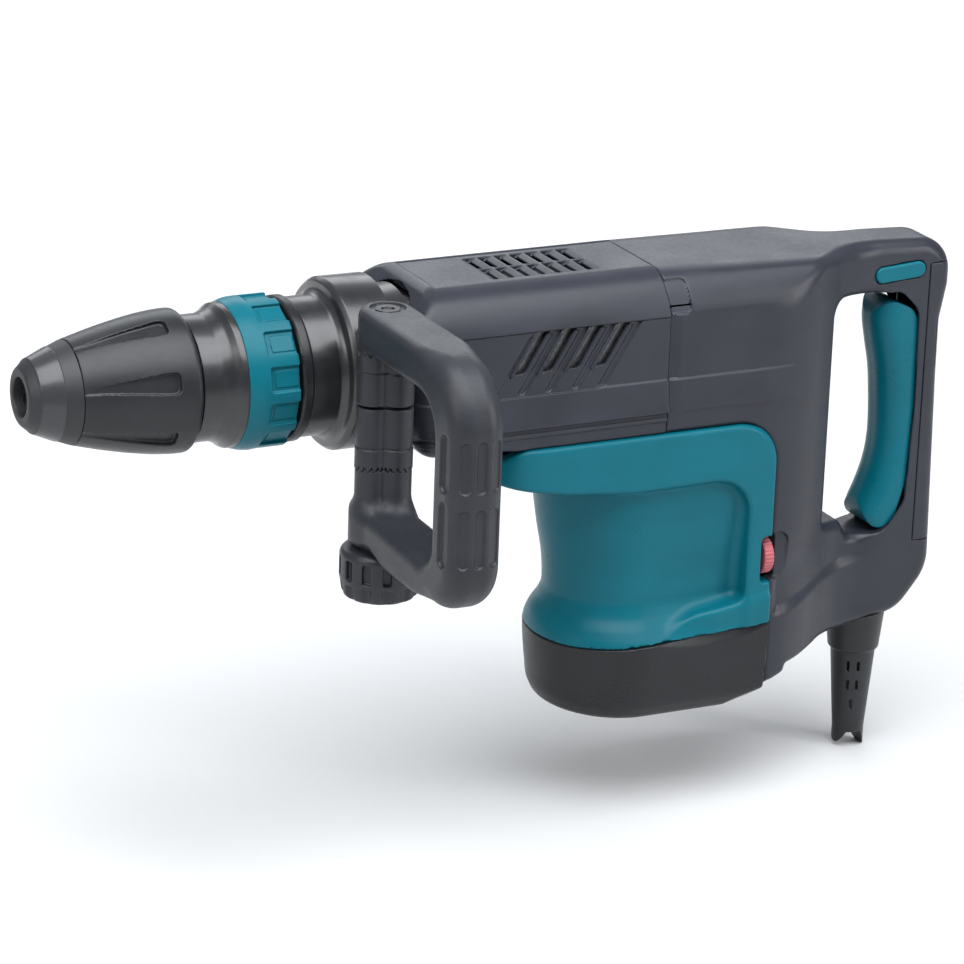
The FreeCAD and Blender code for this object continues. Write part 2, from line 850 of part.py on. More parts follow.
def column(inset, rear, rows):
    """The waisted motor column, lofted through plan outlines; inset makes the room inside."""
    wires = [column_outline(rear, reach - inset, half - inset, height)
             for height, reach, half in rows]
    return Part.makeLoft(wires, True)


BASE_SCREWS = [(320, -24), (320, 24), (386, -36), (386, 36)]


def seam_wedge(gap):
    """Everything under the slanted seam between the motor housing and its bottom cover."""
    return prism([(280, -172.5 + gap, 0), (430, -162.5 + gap, 0), (430, -230, 0), (280, -230, 0)],
                 "XZ", -70, 70)


def motor_housing():
    rear = dim("motor_rear")
    side = dim("band_half")
    frame = prism([(248, -56, 7), (262, -45.3, 14), (rear, -45.3, 25), (rear, -180, 0),
                   (404, -180, 0), (404, -75, 18), (300, -75, 30), (250, -66, 3)],
                  "XZ", -side, side)
    plan = prism(mirrored([(247, 30, 24), (262, side, 22), (395, side, 20), (rear, side - 2, 0)]),
                 "XY", -190, -40)
    body = frame.common(plan).fuse(column(0, rear - 4, COLUMN))
    room = column(3.6, rear - 4, COLUMN)
    upper = prism(mirrored([(253.9, 26.5, 16), (265.6, 45.2, 16), (rear - 4, 45.2, 4)]),
                  "XY", -67, -30)
    cuts = [room, upper, seam_wedge(0.1), dial_room(), block(240, rear + 1, -60, 60, -45.2, -20)]
    shaped("motor_housing", body.cut(cuts))


def dial_room():
    return block(412.5, 422.5, -60, -27, -139, -113)


def motor_bottom_cover():
    rear = dim("motor_rear")
    motor = dim("motor_place")
    low = dim("base_low")
    rows = [(-160, 48.4, 52.2), (-172, 48.6, 52.4), (-196, 46.4, 50.4), (-206, 44.5, 48.6),
            (low, 41, 45)]
    room_rows = [(-160, 44.4, 48.2), (-172, 44.6, 48.4), (-196, 42.4, 46.4), (low + 4, 38, 42)]
    solid = column(0, rear - 0.2, rows)
    room = column(0, rear - 4, room_rows)
    rise = prism([(396, low - 5, 0), (396, low, 0), (rear + 1, low + 10, 0), (rear + 1, low - 5, 0)],
                 "XZ", -70, 70)
    floor = prism([(380, low + 4, 0), (rear + 1, low + 4, 0), (rear + 1, low + 14, 0)],
                  "XZ", -70, 70)
    boss = rod(14, (motor, 0, low + 3), (motor, 0, -184))
    above = prism([(280, -172.5, 0), (430, -162.5, 0), (430, -100, 0), (280, -100, 0)],
                  "XZ", -70, 70)
    body = solid.cut([room.cut(floor), rise, above]).fuse(boss)
    cuts = [rod(11, (motor, 0, -191), (motor, 0, -180)),
            rod(6.3, (motor, 0, -194), (motor, 0, -190))]
    for x, y in BASE_SCREWS:
        cuts.append(rod(4.3, (x, y, low - 1), (x, y, low + 2.6)))
        cuts.append(rod(2.1, (x, y, low), (x, y, low + 10)))
    for index in range(6):
        place = motor - 30 + 12 * index
        if abs(place + 2 - motor) > 14:
            cuts.append(block(place, place + 4, -24, 24, low - 1, low + 9))
    shaped("motor_bottom_cover", body.cut(cuts))


# ---------------------------------------------------------------- rear housing and handle


def rear_outline():
    """The rear housing and handle seen from the side, as (x, z) corners."""
    rear = dim("handle_rear")
    seam = dim("motor_rear") + 0.15
    return [(dim("shell_rear"), -45, 0), (dim("shell_rear"), dim("cover_top"), 0),
            (rear - 60, 40, 100), (rear, 37.4, 22), (rear, 10, 12), (rear - 3.5, -8, 20),
            (rear - 3.5, -40, 40), (rear - 0.5, -160, 30), (rear - 22, -183.5, 24),
            (463, -191, 30), (443, -199, 2), (441, -204, 4), (seam, -205, 0), (seam, -45, 25)]


def rear_solid():
    half = dim("handle_half")
    side = prism(rear_outline(), "XZ", -60, 60)
    plan = prism(mirrored([(340, 50.5, 0), (422, 50, 50), (452, 38, 40), (482, half, 30),
                           (dim("handle_rear") + 1, half, 8)]), "XY", -215, 60)
    roof = prism([(-52, -210, 0), (52, -210, 0), (50.4, 19, 10), (49, 31, 12), (25, 43.5, 16),
                  (-25, 43.5, 16), (-49, 31, 12), (-50.4, 19, 10)], "YZ", 340, 560)
    return side.common(plan).common(roof)


def hand_window():
    """The opening for the hand, with the place of the switch lever."""
    return prism([(466, 10, 8), (516, 10, 10), (528.3, -8, 14), (528.3, -116, 14), (514, -133, 10),
                  (488, -131.5, 3), (484, -124, 4), (466, -122, 6)], "XZ", -60, 60)


def back_strip(gap):
    seam = dim("back_seam")
    return prism([(seam + gap, 25 - gap, 3), (560, 25 - gap, 0), (560, -141 + gap, 0),
                  (seam - 0.5 + gap, -141 + gap, 3)], "XZ", -60, 60)


def grip_room():
    """The channel in the grip that the lever's edges slide into."""
    half = dim("lever_half") + 0.5
    return block(520, 538, -half, half, -130, 8)


def rear_handle():
    body = rear_solid()
    front = dim("shell_rear")
    room = prism(mirrored([(front - 1, 46, 0), (400, 45.8, 40), (440, 34, 20), (455, 22, 6)]),
                 "XY", -40.5, 26)
    low_room = prism(mirrored([(dim("motor_rear") - 1, 44, 0), (429, 44, 10), (450, 28, 10)]),
                     "XY", -185, -60)
    crank_room = prism([(-45.2, -67, 0), (45.2, -67, 0), (45.2, 34, 14), (-45.2, 34, 14)],
                       "YZ", front - 1, 368)
    link = block(424, 444, -28, 28, -70, -38)
    button = lock_outline(0.3, 30)
    pocket = prism([(504, -200, 0), (530, -192, 0), (530, -165, 0), (504, -165, 0)],
                   "XZ", -9.2, 9.2)
    bore = rod(5.5, (515, 0, -220), (500, 0, -140))
    cuts = [hand_window(), back_strip(0), grip_room(), room, low_room, crank_room, link, button,
            dial_room(), guard_axis_rod(9.3, -4, 18), pocket.common(bore),
            lever_pin_rod(3.0)]
    shaped("rear_handle", body.cut(cuts))


def handle_back_cover():
    body = rear_solid().common(back_strip(0.2))
    shaped("handle_back_cover", body.cut([grip_room(), hand_window()]))


def lock_outline(gap, reach):
    """The pill-shaped lock button, tilted a few degrees up to the rear."""
    half = 4.6 + gap
    corners = [(-16 - gap, -half, half - 0.05), (16 + gap, -half, half - 0.05),
               (16 + gap, half, half - 0.05), (-16 - gap, half, half - 0.05)]
    pill = prism(corners, "XZ", -reach, reach)
    pill.rotate(Vector(), Vector(0, 1, 0), -4)
    pill.translate(Vector(511, 0, 21.5))
    return pill


def lock_button():
    shaped("lock_button", lock_outline(0, dim("handle_half") + 1.2))


def lever_pin_rod(radius):
    place = dim("lever_pivot_place")
    height = dim("lever_pivot_height")
    return rod(radius, (place, -14.8, height), (place, 14.8, height))


def lever_outline(inset):
    """The side outline of the switch lever, bowed towards the fingers."""
    front = Part.BSplineCurve()
    front.interpolate([Vector(x + inset, 0, z) for x, z in
                       ((502.5, 7), (501.5, -12), (507, -38), (510, -74), (505, -108),
                        (497.5, -126))])
    rear = 527.5 - inset
    spots = [Vector(497.5 + inset, 0, -126), Vector(503, 0, -130.5), Vector(512.5, 0, -129.5),
             Vector(rear, 0, -114), Vector(rear, 0, -6), Vector(511, 0, 6.5),
             Vector(502.5 + inset, 0, 7)]
    edges = [front.toShape()]
    edges += [Part.LineSegment(a, b).toShape() for a, b in zip(spots, spots[1:])]
    return Part.Wire(edges)


def switch_lever():
    half = dim("lever_half")
    place = dim("lever_pivot_place")
    height = dim("lever_pivot_height")
    face = Part.Face(lever_outline(0))
    solid = face.extrude(Vector(0, 2 * half, 0)).translated(Vector(0, -half, 0))
    room = prism([(514, -2, 3), (540, -2, 0), (540, -113, 0), (514, -113, 3)],
                 "XZ", -half + 2.6, half - 2.6)
    hole = rod(3.06, (place, -30, height), (place, 30, height))
    front = [edge for edge in solid.Edges
             if edge.Curve.TypeId == "Part::GeomBSplineCurve"]
    solid = solid.makeFillet(7.0, front)
    shaped("switch_lever", solid.cut([room, hole]))


def lever_pin():
    shaped("lever_pin", lever_pin_rod(3.0))


def switch_body():
    """The switch inside the grip, behind the lever."""
    body = block(522.5, 537.5, -9, 9, -74, -34)
    plunger = rod(3, (519.5, 0, -50), (523, 0, -50))
    shaped("switch_body", body.fuse(plunger))


def speed_dial():
    """A thumbwheel that turns about an axis along the hammer."""
    wheel = rod(11, (414.2, -41.5, -126), (420.2, -41.5, -126))
    tooth = rod(0.9, (414, -41.5, -115), (421, -41.5, -115))
    centre = Vector(0, -41.5, -126)
    teeth = [tooth.rotated(centre, Vector(1, 0, 0), 15 * index) for index in range(24)]
    bore = rod(2, (410, -41.5, -126), (424, -41.5, -126))
    shaped("speed_dial", wheel.cut(teeth + [bore]))


def control_board():
    board = block(424, 426, -34, 30, -105, -75)
    parts = [block(426, 432, -28, -14, -100, -84), block(426, 436, 2, 18, -98, -82),
             rod(1.95, (413.2, -41.5, -126), (423, -41.5, -126)),
             block(422.6, 424.4, -43.6, -30, -130, -100)]
    shaped("control_board", board.fuse(parts))


def guard_axis_rod(radius, start, end):
    """A rod along the upright axis of the cord guard, measured down from the housing."""
    top = Vector(dim("guard_place"), 0, dim("guard_top"))
    along = Vector(0, 0, -1)
    return Part.makeCylinder(radius, end - start, top + along * start, along)


def guard_step(high_radius, low_radius, start, length):
    top = Vector(dim("guard_place"), 0, dim("guard_top"))
    along = Vector(0, 0, -1)
    return Part.makeCone(high_radius, low_radius, length, top + along * start, along)


def cord_guard():
    """The tapering rubber sleeve that keeps the supply cord from kinking."""
    body = guard_axis_rod(9.3, -2, 16).fuse([
        guard_step(16.8, 14.6, 12, 18),
        guard_step(13.2, 8.6, 29, 58),
    ])
    shaped("cord_guard", body.cut([guard_axis_rod(4.6, -10, 100), rear_solid_foot()]))


def rear_solid_foot():
    """The rear housing above the guard, less the hole that the guard's stem fills."""
    return rear_solid().cut(guard_axis_rod(9.3, -4, 30))


# ---------------------------------------------------------------- screws


def screw_down(x, y, top, length):
    """A recessed-head screw pointing down from top."""
    head = rod(4, (x, y, top - 3), (x, y, top))
    stem = rod(1.9, (x, y, top - length), (x, y, top - 2))
    socket = rod(2, (x, y, top - 1.6), (x, y, top + 1))
    return head.fuse(stem).cut(socket)


def bottom_cover_screws():
    screws = []
    for x, y in BASE_SCREWS:
        screw = screw_down(x, y, 0, 9)
        screw.rotate(Vector(x, y, 0), Vector(1, 0, 0), 180)
        screws.append(screw.translated(Vector(0, 0, dim("base_low") - 0.6)))
    shaped("bottom_cover_screws", Part.makeCompound(screws))


# ---------------------------------------------------------------- side handle


def clamp_blank():
    """Both halves of the clamp as one: a band round the drum, the post and the far lugs."""
    post_x = dim("post_place")
    post_y = dim("post_side")
    radius = dim("post_radius")
    bore = dim("clamp_bore")
    band = rod(bore + 2.2, (177, 0, 0), (191, 0, 0))
    low = dim("ear_low")
    top = dim("ear_top")
    lean = math.radians(20)
    lobes = []
    for step in (-5.2, 5.2):
        lobe_x = post_x + step * math.cos(lean)
        lobe_y = post_y - step * math.sin(lean)
        lobes.append(rod(9.6, (lobe_x, lobe_y, low), (lobe_x, lobe_y, top)))
    heart = rod(radius - 3.5, (post_x, post_y, low), (post_x, post_y, top))
    web = block(164, 191, post_y + 3, -30, low + 6, top)
    lug = block(177.5, 190.5, 40, 60, -16, 6)
    body = fused([band, heart] + lobes + [web, lug])
    return body.cut([rod(bore, (150, 0, 0), (200, 0, 0)),
                     rod(dim("bolt_rod") + 0.06, (post_x, post_y, -60), (post_x, post_y, 60)),
                     rod(2.6, (184, 55, -30), (184, 55, 30))])


def clamp_halves():
    split = dim("post_split")
    upper = block(140, 200, -100, 100, split + 0.6, 100)
    lower = block(140, 200, -100, 100, -100, split - 0.6)
    blank = clamp_blank()
    shaped("clamp_half_upper", blank.common(upper))
    shaped("clamp_half_lower", blank.common(lower))


def clamp_screw():
    """The screw and nut that join the clamp halves on the far side."""
    stem = rod(2.6, (184, 55, -22), (184, 55, 7))
    head = prism([(179.5, 51, 0), (188.5, 51, 0), (188.5, 59, 0), (179.5, 59, 0)], "XY", 6, 9.5)
    nut = prism([(179.5, 51, 0), (188.5, 51, 0), (188.5, 59, 0), (179.5, 59, 0)], "XY", -20, -16)
    shaped("clamp_screw", stem.fuse([head, nut]))


def side_grip():
    """The D-shaped side handle: two eyes on the post and a grip joined by rounded arms."""
    post_x = dim("post_place")
    post_y = dim("post_side")
    top = dim("grip_top")
    low = dim("grip_low")
    half = dim("post_radius")
    out = dim("grip_side") - dim("grip_radius")
    side = [(post_y + half, top, 0), (post_y + half, low, 0), (post_y - half - 2, low, 0),
            (out, low - 4, 26), (out, top, 34)]
    inner = dim("grip_side") + dim("grip_radius")
    window_top = dim("ear_top") + 0.3
    window_low = dim("ear_low") - 0.3
    window = [(post_y + half + 5, window_top, 0), (post_y + half + 5, window_low, 0),
              (post_y - half - 1, window_low, 0), (post_y - half - 4, -60, 12),
              (inner, -60, 12), (inner, window_top, 20)]
    slab = prism(side, "YZ", post_x - half, post_x + half).cut(
        prism(window, "YZ", post_x - half - 5, post_x + half + 5))
    plan = prism([(post_x - half, post_y + half, half - 0.1),
                  (post_x + half, post_y + half, half - 0.1),
                  (post_x + half + 1, out, 12), (post_x - half - 1, out, 12)], "XY", -100, 60)
    body = slab.common(plan)
    hole = rod(dim("bolt_rod"), (post_x, post_y, -100), (post_x, post_y, 60))
    shaped("side_grip", body.cut([hole, bolt_head(top + 2)]))


def bolt_head(top):
    """The hexagon of the clamp bolt's head, up to the given height."""
    corners = []
    for index in range(6):
        turn = math.radians(60 * index)
        corners.append((dim("post_place") + 8 * math.cos(turn),
                        dim("post_side") + 8 * math.sin(turn), 0))
    return prism(corners, "XY", dim("grip_top") - 6, top)


def clamp_bolt():
    post_x = dim("post_place")
    post_y = dim("post_side")
    top = dim("grip_top")
    stem = rod(dim("bolt_rod"), (post_x, post_y, dim("knob_low") + 4), (post_x, post_y, top - 5))
    shaped("clamp_bolt", stem.fuse(bolt_head(top - 0.6)))


def clamp_washer():
    ring("clamp_washer", 11, size("bolt_rod") + 0.06, size("knob_top") + 0.1, 1.3,
         (size("post_place"), size("post_side"), 0), "Z")


def clamp_knob():
    post_x = dim("post_place")
    post_y = dim("post_side")
    low = dim("knob_low")
    top = dim("knob_top")
    wide = dim("knob_radius")
    body = rod(wide, (post_x, post_y, low), (post_x, post_y, top))
    rims = [edge for edge in body.Edges if edge.Curve.TypeId == "Part::GeomCircle"]
    body = body.makeFillet(2.5, rims)
    flute = rod(3, (post_x + wide + 1.2, post_y, low - 1), (post_x + wide + 1.2, post_y, top - 5))
    centre = Vector(post_x, post_y, 0)
    flutes = [flute.rotated(centre, Vector(0, 0, 1), 30 * index) for index in range(12)]
    bore = rod(dim("bolt_rod") + 0.06, (post_x, post_y, low - 1), (post_x, post_y, top + 1))
    shaped("clamp_knob", body.cut(flutes + [bore]))


# ---------------------------------------------------------------- build


def build():
    fill_sheet()
    steps = [
        front_cap, release_sleeve, tool_holder, locking_lugs, chuck_spring, ring_collar,
        change_ring, barrel_nose_ring, barrel, barrel_screws, impact_bolt, striker,
        striker_seal, cushion_ring, cylinder, piston, wrist_pin, connecting_rod, crank_gear,
        crankshaft, crank_bearings, crank_housing, armature, armature_core, commutator, fan,
        motor_bearings, bearing_plate, field_stator, brushes, top_cover, body_shell,
        motor_housing, motor_bottom_cover, rear_handle, handle_back_cover, lock_button,
        switch_lever, lever_pin, switch_body, speed_dial, control_board, cord_guard,
        bottom_cover_screws, clamp_halves, clamp_screw, side_grip, clamp_bolt, clamp_washer,
        clamp_knob,
    ]
    for step in steps:
        step()
    doc.recompute()


def check():
    for thing in doc.Objects:
        bad = {"Invalid", "Error"} & set(thing.State)
        if bad:
            raise RuntimeError(f"{thing.Name} is {bad}")
    for piece in pieces:
        if piece.Shape.isNull() or not piece.Shape.isValid():
            raise RuntimeError(f"{piece.Label} has a bad shape")


def write():
    os.makedirs("parts", exist_ok=True)
    for piece in pieces:
        piece.Shape.exportStep(os.path.join("parts", f"{piece.Label}.step"))
    print(len(pieces), "pieces written")


build()
check()
write()
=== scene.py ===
import json
import math

import bmesh
import bpy
import numpy as np
from mathutils import Matrix, Vector


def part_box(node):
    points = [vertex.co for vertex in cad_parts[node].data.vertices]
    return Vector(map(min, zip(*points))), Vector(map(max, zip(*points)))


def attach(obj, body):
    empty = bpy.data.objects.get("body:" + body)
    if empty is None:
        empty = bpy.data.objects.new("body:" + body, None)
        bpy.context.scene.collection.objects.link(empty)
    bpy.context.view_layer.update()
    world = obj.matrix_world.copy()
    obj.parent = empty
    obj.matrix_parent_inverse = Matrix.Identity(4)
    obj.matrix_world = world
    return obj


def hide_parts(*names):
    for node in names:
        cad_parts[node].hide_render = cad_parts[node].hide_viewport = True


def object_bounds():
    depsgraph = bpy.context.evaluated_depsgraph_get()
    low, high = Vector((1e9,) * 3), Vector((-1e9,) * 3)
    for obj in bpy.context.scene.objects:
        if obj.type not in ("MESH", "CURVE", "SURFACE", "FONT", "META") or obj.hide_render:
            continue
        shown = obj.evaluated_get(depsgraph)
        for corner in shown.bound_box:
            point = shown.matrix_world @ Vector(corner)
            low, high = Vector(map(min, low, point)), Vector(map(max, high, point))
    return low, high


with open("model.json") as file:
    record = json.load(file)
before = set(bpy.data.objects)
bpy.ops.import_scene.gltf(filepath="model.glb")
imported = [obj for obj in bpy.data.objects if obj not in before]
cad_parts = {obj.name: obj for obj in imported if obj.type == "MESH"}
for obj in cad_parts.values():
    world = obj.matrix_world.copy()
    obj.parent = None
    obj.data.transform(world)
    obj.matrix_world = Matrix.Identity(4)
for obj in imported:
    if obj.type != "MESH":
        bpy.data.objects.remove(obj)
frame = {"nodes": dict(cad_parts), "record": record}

MM = 0.001
size_before = [[float(v) for v in corner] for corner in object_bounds()]


def low(node):
    """The lowest corner of a CAD node at rest, in millimetres."""
    return [float(v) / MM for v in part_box(node)[0]]


def high(node):
    """The highest corner of a CAD node at rest, in millimetres."""
    return [float(v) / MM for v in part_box(node)[1]]


# ---------------------------------------------------------------- driving places, mm

SHELL_FRONT = low("body_shell")[0]
SHELL_REAR = high("body_shell")[0]
COVER_LOW = low("top_cover")[2]
COVER_TOP = high("top_cover")[2]
MOTOR_REAR = high("motor_housing")[0]
MOTOR_TOP = high("motor_housing")[2]
BASE_LOW = low("motor_bottom_cover")[2] - 4  # the skin hangs a little below the CAD floor
MOTOR_AXIS = (low("armature_shaft")[0] + high("armature_shaft")[0]) / 2
HANDLE_REAR = high("rear_handle")[0]
BACK_SEAM = low("handle_back_cover")[0]
LEVER_HALF = high("switch_lever")[1]
HANDLE_HALF = high("handle_back_cover")[1]
POST_X = (low("clamp_knob")[0] + high("clamp_knob")[0]) / 2
POST_Y = (low("clamp_knob")[1] + high("clamp_knob")[1]) / 2
GRIP_OUT = low("side_grip")[1]
GRIP_TOP = high("side_grip")[2]
GRIP_LOW = low("side_grip")[2]
EAR_TOP = GRIP_TOP - 24
EAR_LOW = GRIP_LOW + 46
GUARD_X = (low("cord_guard")[0] + high("cord_guard")[0]) / 2
KNOB_LOW = low("clamp_knob")[2]
KNOB_TOP = high("clamp_knob")[2]
KNOB_HALF = (high("clamp_knob")[0] - low("clamp_knob")[0]) / 2

# ---------------------------------------------------------------- distance fields
# A shape is a function of x, y, z arrays in millimetres that is negative inside.


def meet(a, b, radius=0.0):
    """Intersection, with a circular round of the given radius on its edge."""
    u = np.maximum(radius + a, 0)
    v = np.maximum(radius + b, 0)
    return np.minimum(-radius, np.maximum(a, b)) + np.sqrt(u * u + v * v)


def join(a, b, radius=0.0):
    """Union, with a circular fillet of the given radius in its corner."""
    return -meet(-a, -b, radius)


def carve(a, b, radius=0.0):
    """Shape a less shape b, with a round on the edge that is left."""
    return meet(a, -b, radius)


def curve(points):
    """A smooth function through (place, value) points, level beyond its ends."""
    xs = np.array([p[0] for p in points], float)
    ys = np.array([p[1] for p in points], float)
    slope = np.gradient(ys, xs)
    rise = np.diff(ys) / np.diff(xs)
    for i in range(len(xs)):
        near = [rise[j] for j in (i - 1, i) if 0 <= j < len(rise)]
        if min(near) * max(near) <= 0:
            slope[i] = 0
        else:
            limit = 3 * min(abs(v) for v in near)
            slope[i] = math.copysign(min(abs(slope[i]), limit), slope[i])
    fine = np.linspace(xs[0], xs[-1], 600)
    at = np.clip(np.searchsorted(xs, fine) - 1, 0, len(xs) - 2)
    span = xs[at + 1] - xs[at]
    t = (fine - xs[at]) / span
    value = (ys[at] * (2 * t**3 - 3 * t**2 + 1) + slope[at] * span * (t**3 - 2 * t**2 + t)
             + ys[at + 1] * (3 * t**2 - 2 * t**3) + slope[at + 1] * span * (t**3 - t**2))
    return lambda place: np.interp(place, fine, value)


def straight(points):
    """A function made of straight runs through (place, value) points."""
    xs = [p[0] for p in points]
    ys = [p[1] for p in points]
    return lambda place: np.interp(place, xs, ys)


def ease(low_end, high_end, value):
    """Rises smoothly from 0 to 1 as the value goes from the low end to the high end."""
    t = np.clip((value - low_end) / (high_end - low_end), 0, 1)
    return t * t * (3 - 2 * t)


def slab(value, low_end, high_end):
    """The space between two planes."""
    middle = (low_end + high_end) / 2
    return np.abs(value - middle) - (high_end - low_end) / 2


def brick(u, v, u_ends, v_ends, radius):
    """A rounded rectangle in two of the coordinates."""
    a = slab(u, *u_ends)
    b = slab(v, *v_ends)
    return meet(a, b, radius)


def polygon(u, v, corners):
    """The signed distance to a closed polygon."""
    nearest = np.full(u.shape, 1e9)
    inside = np.zeros(u.shape, bool)
    for (u0, v0), (u1, v1) in zip(corners, corners[1:] + corners[:1]):
        du, dv = u1 - u0, v1 - v0
        along = np.clip(((u - u0) * du + (v - v0) * dv) / (du * du + dv * dv), 0, 1)
        away = (u - u0 - along * du) ** 2 + (v - v0 - along * dv) ** 2
        nearest = np.minimum(nearest, away)
        crosses = ((v0 > v) != (v1 > v)) & (u < (u1 - u0) * (v - v0) / (v1 - v0 + 1e-12) + u0)
        inside ^= crosses
    return np.sqrt(nearest) * np.where(inside, -1, 1)


def segment(u, v, start, end):
    """The distance to a straight run from start to end."""
    du, dv = end[0] - start[0], end[1] - start[1]
    along = np.clip(((u - start[0]) * du + (v - start[1]) * dv) / (du * du + dv * dv), 0, 1)
    return np.hypot(u - start[0] - along * du, v - start[1] - along * dv)


# ---------------------------------------------------------------- meshes from distance fields


def sampled(field, lowest, highest, step):
    """The field on a grid, worked out in full only near its surface."""
    blocks = [int(math.ceil((b - a) / step / 4)) for a, b in zip(lowest, highest)]
    axes = [a + step * np.arange(4 * n) for a, n in zip(lowest, blocks)]
    middles = [axis[::4] + 1.5 * step for axis in axes]
    rough = field(*np.meshgrid(*middles, indexing="ij"))
    values = rough.repeat(4, 0).repeat(4, 1).repeat(4, 2)
    i, j, k = np.nonzero(np.abs(values) < step * 7)
    values[i, j, k] = field(axes[0][i], axes[1][j], axes[2][k])
    return axes, values


def surface(field, lowest, highest, step):
    """Vertices and quads of the field's zero surface, by surface nets."""
    axes, values = sampled(field, lowest, highest, step)
    inside = values < 0
    nx, ny, nz = values.shape
    corners = [(a, b, c) for a in (0, 1) for b in (0, 1) for c in (0, 1)]

    def part(array, offset):
        a, b, c = offset
        return array[a:nx - 1 + a, b:ny - 1 + b, c:nz - 1 + c]

    total = sum(part(inside, c).astype(np.int8) for c in corners)
    cells = np.nonzero((total > 0) & (total < 8))
    index = np.full((nx - 1, ny - 1, nz - 1), -1, np.int64)
    index[cells] = np.arange(len(cells[0]))
    spots = np.zeros((len(cells[0]), 3))
    weight = np.zeros(len(cells[0]))
    held = {c: values[cells[0] + c[0], cells[1] + c[1], cells[2] + c[2]] for c in corners}
    for first in corners:
        for axis in range(3):
            if first[axis]:
                continue
            second = tuple(1 if n == axis else first[n] for n in range(3))
            a, b = held[first], held[second]
            crosses = (a < 0) != (b < 0)
            gap = np.where(crosses, a - b, 1.0)
            t = np.where(crosses, a / gap, 0)
            spot = np.array(first, float)[None, :].repeat(len(t), 0)
            spot[:, axis] += t
            spots += spot * crosses[:, None]
            weight += crosses
    spots /= weight[:, None]
    spots += np.stack(cells, 1)
    spots = np.stack([axes[n][0] + step * spots[:, n] for n in range(3)], 1)
    quads = []
    for axis in range(3):
        one, two = (axis + 1) % 3, (axis + 2) % 3
        change = inside != np.roll(inside, -1, axis)
        keep = [slice(1, -1)] * 3
        keep[axis] = slice(0, -1)
        region = np.zeros_like(change)
        region[tuple(keep)] = True
        edge = np.nonzero(change & region)
        starts = inside[edge]

        def cell(step_one, step_two):
            place = [edge[0].copy(), edge[1].copy(), edge[2].copy()]
            place[one] = place[one] - step_one
            place[two] = place[two] - step_two
            return index[place[0], place[1], place[2]]

        ring = np.stack([cell(1, 1), cell(0, 1), cell(0, 0), cell(1, 0)], 1)
        ring[~starts] = ring[~starts][:, ::-1]
        quads.append(ring)
    quads = np.concatenate(quads)
    return spots, quads[(quads >= 0).all(1)]


def slope(field, spots, reach=0.05):
    """The field's slope at each spot, along x, y and z."""
    result = np.zeros_like(spots)
    for axis in range(3):
        step = np.zeros(3)
        step[axis] = reach
        ahead = spots + step
        behind = spots - step
        result[:, axis] = (field(*ahead.T) - field(*behind.T)) / (2 * reach)
    return result


def settle(field, spots, turns=3):
    """Moves vertices along the slope onto the surface."""
    for _ in range(turns):
        value = field(*spots.T)
        rise = slope(field, spots)
        scale = np.maximum((rise * rise).sum(1), 0.2)
        move = -(value / scale)[:, None] * rise
        length = np.linalg.norm(move, axis=1)
        move *= np.minimum(1, 1.0 / np.maximum(length, 1e-9))[:, None]
        spots = spots + move
    return spots


def mesh_object(name, spots, faces, smooth=True):
    mesh = bpy.data.meshes.new(name)
    mesh.from_pydata((np.asarray(spots) * MM).tolist(), [], [list(map(int, f)) for f in faces])
    mesh.validate()
    for face in mesh.polygons:
        face.use_smooth = smooth
    thing = bpy.data.objects.new(name, mesh)
    bpy.context.scene.collection.objects.link(thing)
    return thing


def moulded(name, field, lowest, highest, step):
    """An object whose surface is the field's, with the field's own normals."""
    spots, quads = surface(field, lowest, highest, step)
    spots = settle(field, spots)
    thing = mesh_object(name, spots, quads)
    rise = slope(field, np.array([v.co for v in thing.data.vertices]) / MM, 0.25)
    rise /= np.maximum(np.linalg.norm(rise, axis=1), 1e-9)[:, None]
    thing.data.normals_split_custom_set_from_vertices(rise.tolist())
    return thing


# ---------------------------------------------------------------- turned pieces


def softened(outline):
    """The outline's corners, with each corner of some radius turned into a short arc."""
    result = []
    for index, (u, v, radius) in enumerate(outline):
        here = Vector((u, v))
        if radius == 0:
            result.append((u, v))
            continue
        before = (Vector(outline[index - 1][:2]) - here).normalized()
        after = (Vector(outline[(index + 1) % len(outline)][:2]) - here).normalized()
        half = before.angle(after) / 2
        middle = here + (before + after).normalized() * (radius / math.sin(half))
        start = here + before * (radius / math.tan(half)) - middle
        end = here + after * (radius / math.tan(half)) - middle
        sweep = start.angle(end)
        steps = max(4, int(sweep * math.sqrt(radius) * 2.6))
        for step in range(steps + 1):
            t = step / steps
            arm = (start * math.sin((1 - t) * sweep) + end * math.sin(t * sweep)) / math.sin(sweep)
            result.append(tuple(middle + arm))
    return result


def creased(thing, degrees=35):
    """Faces outwards, smooth shading, and crisp edges where faces meet at a larger angle."""
    bm = bmesh.new()
    bm.from_mesh(thing.data)
    bmesh.ops.recalc_face_normals(bm, faces=bm.faces)
    bm.to_mesh(thing.data)
    bm.free()
    for face in thing.data.polygons:
        face.use_smooth = True
    thing.data.set_sharp_from_angle(angle=math.radians(degrees))
    return thing


def lathe(name, outline, axis="X", centre=(0, 0), count=192):
    """A piece turned about X or Z from a closed outline of (place, radius, round) corners."""
    corners = softened(outline)
    spots = []
    for index in range(count):
        turn = 2 * math.pi * index / count
        for place, radius in corners:
            a = centre[0] + radius * math.cos(turn)
            b = centre[1] + radius * math.sin(turn)
            spots.append((place, a, b) if axis == "X" else (a, b, place))
    faces = []
    size = len(corners)
    for index in range(count):
        ahead = (index + 1) % count
        for corner in range(size):
            following = (corner + 1) % size
            faces.append((index * size + corner, index * size + following,
                          ahead * size + following, ahead * size + corner))
    return creased(mesh_object(name, spots, faces))


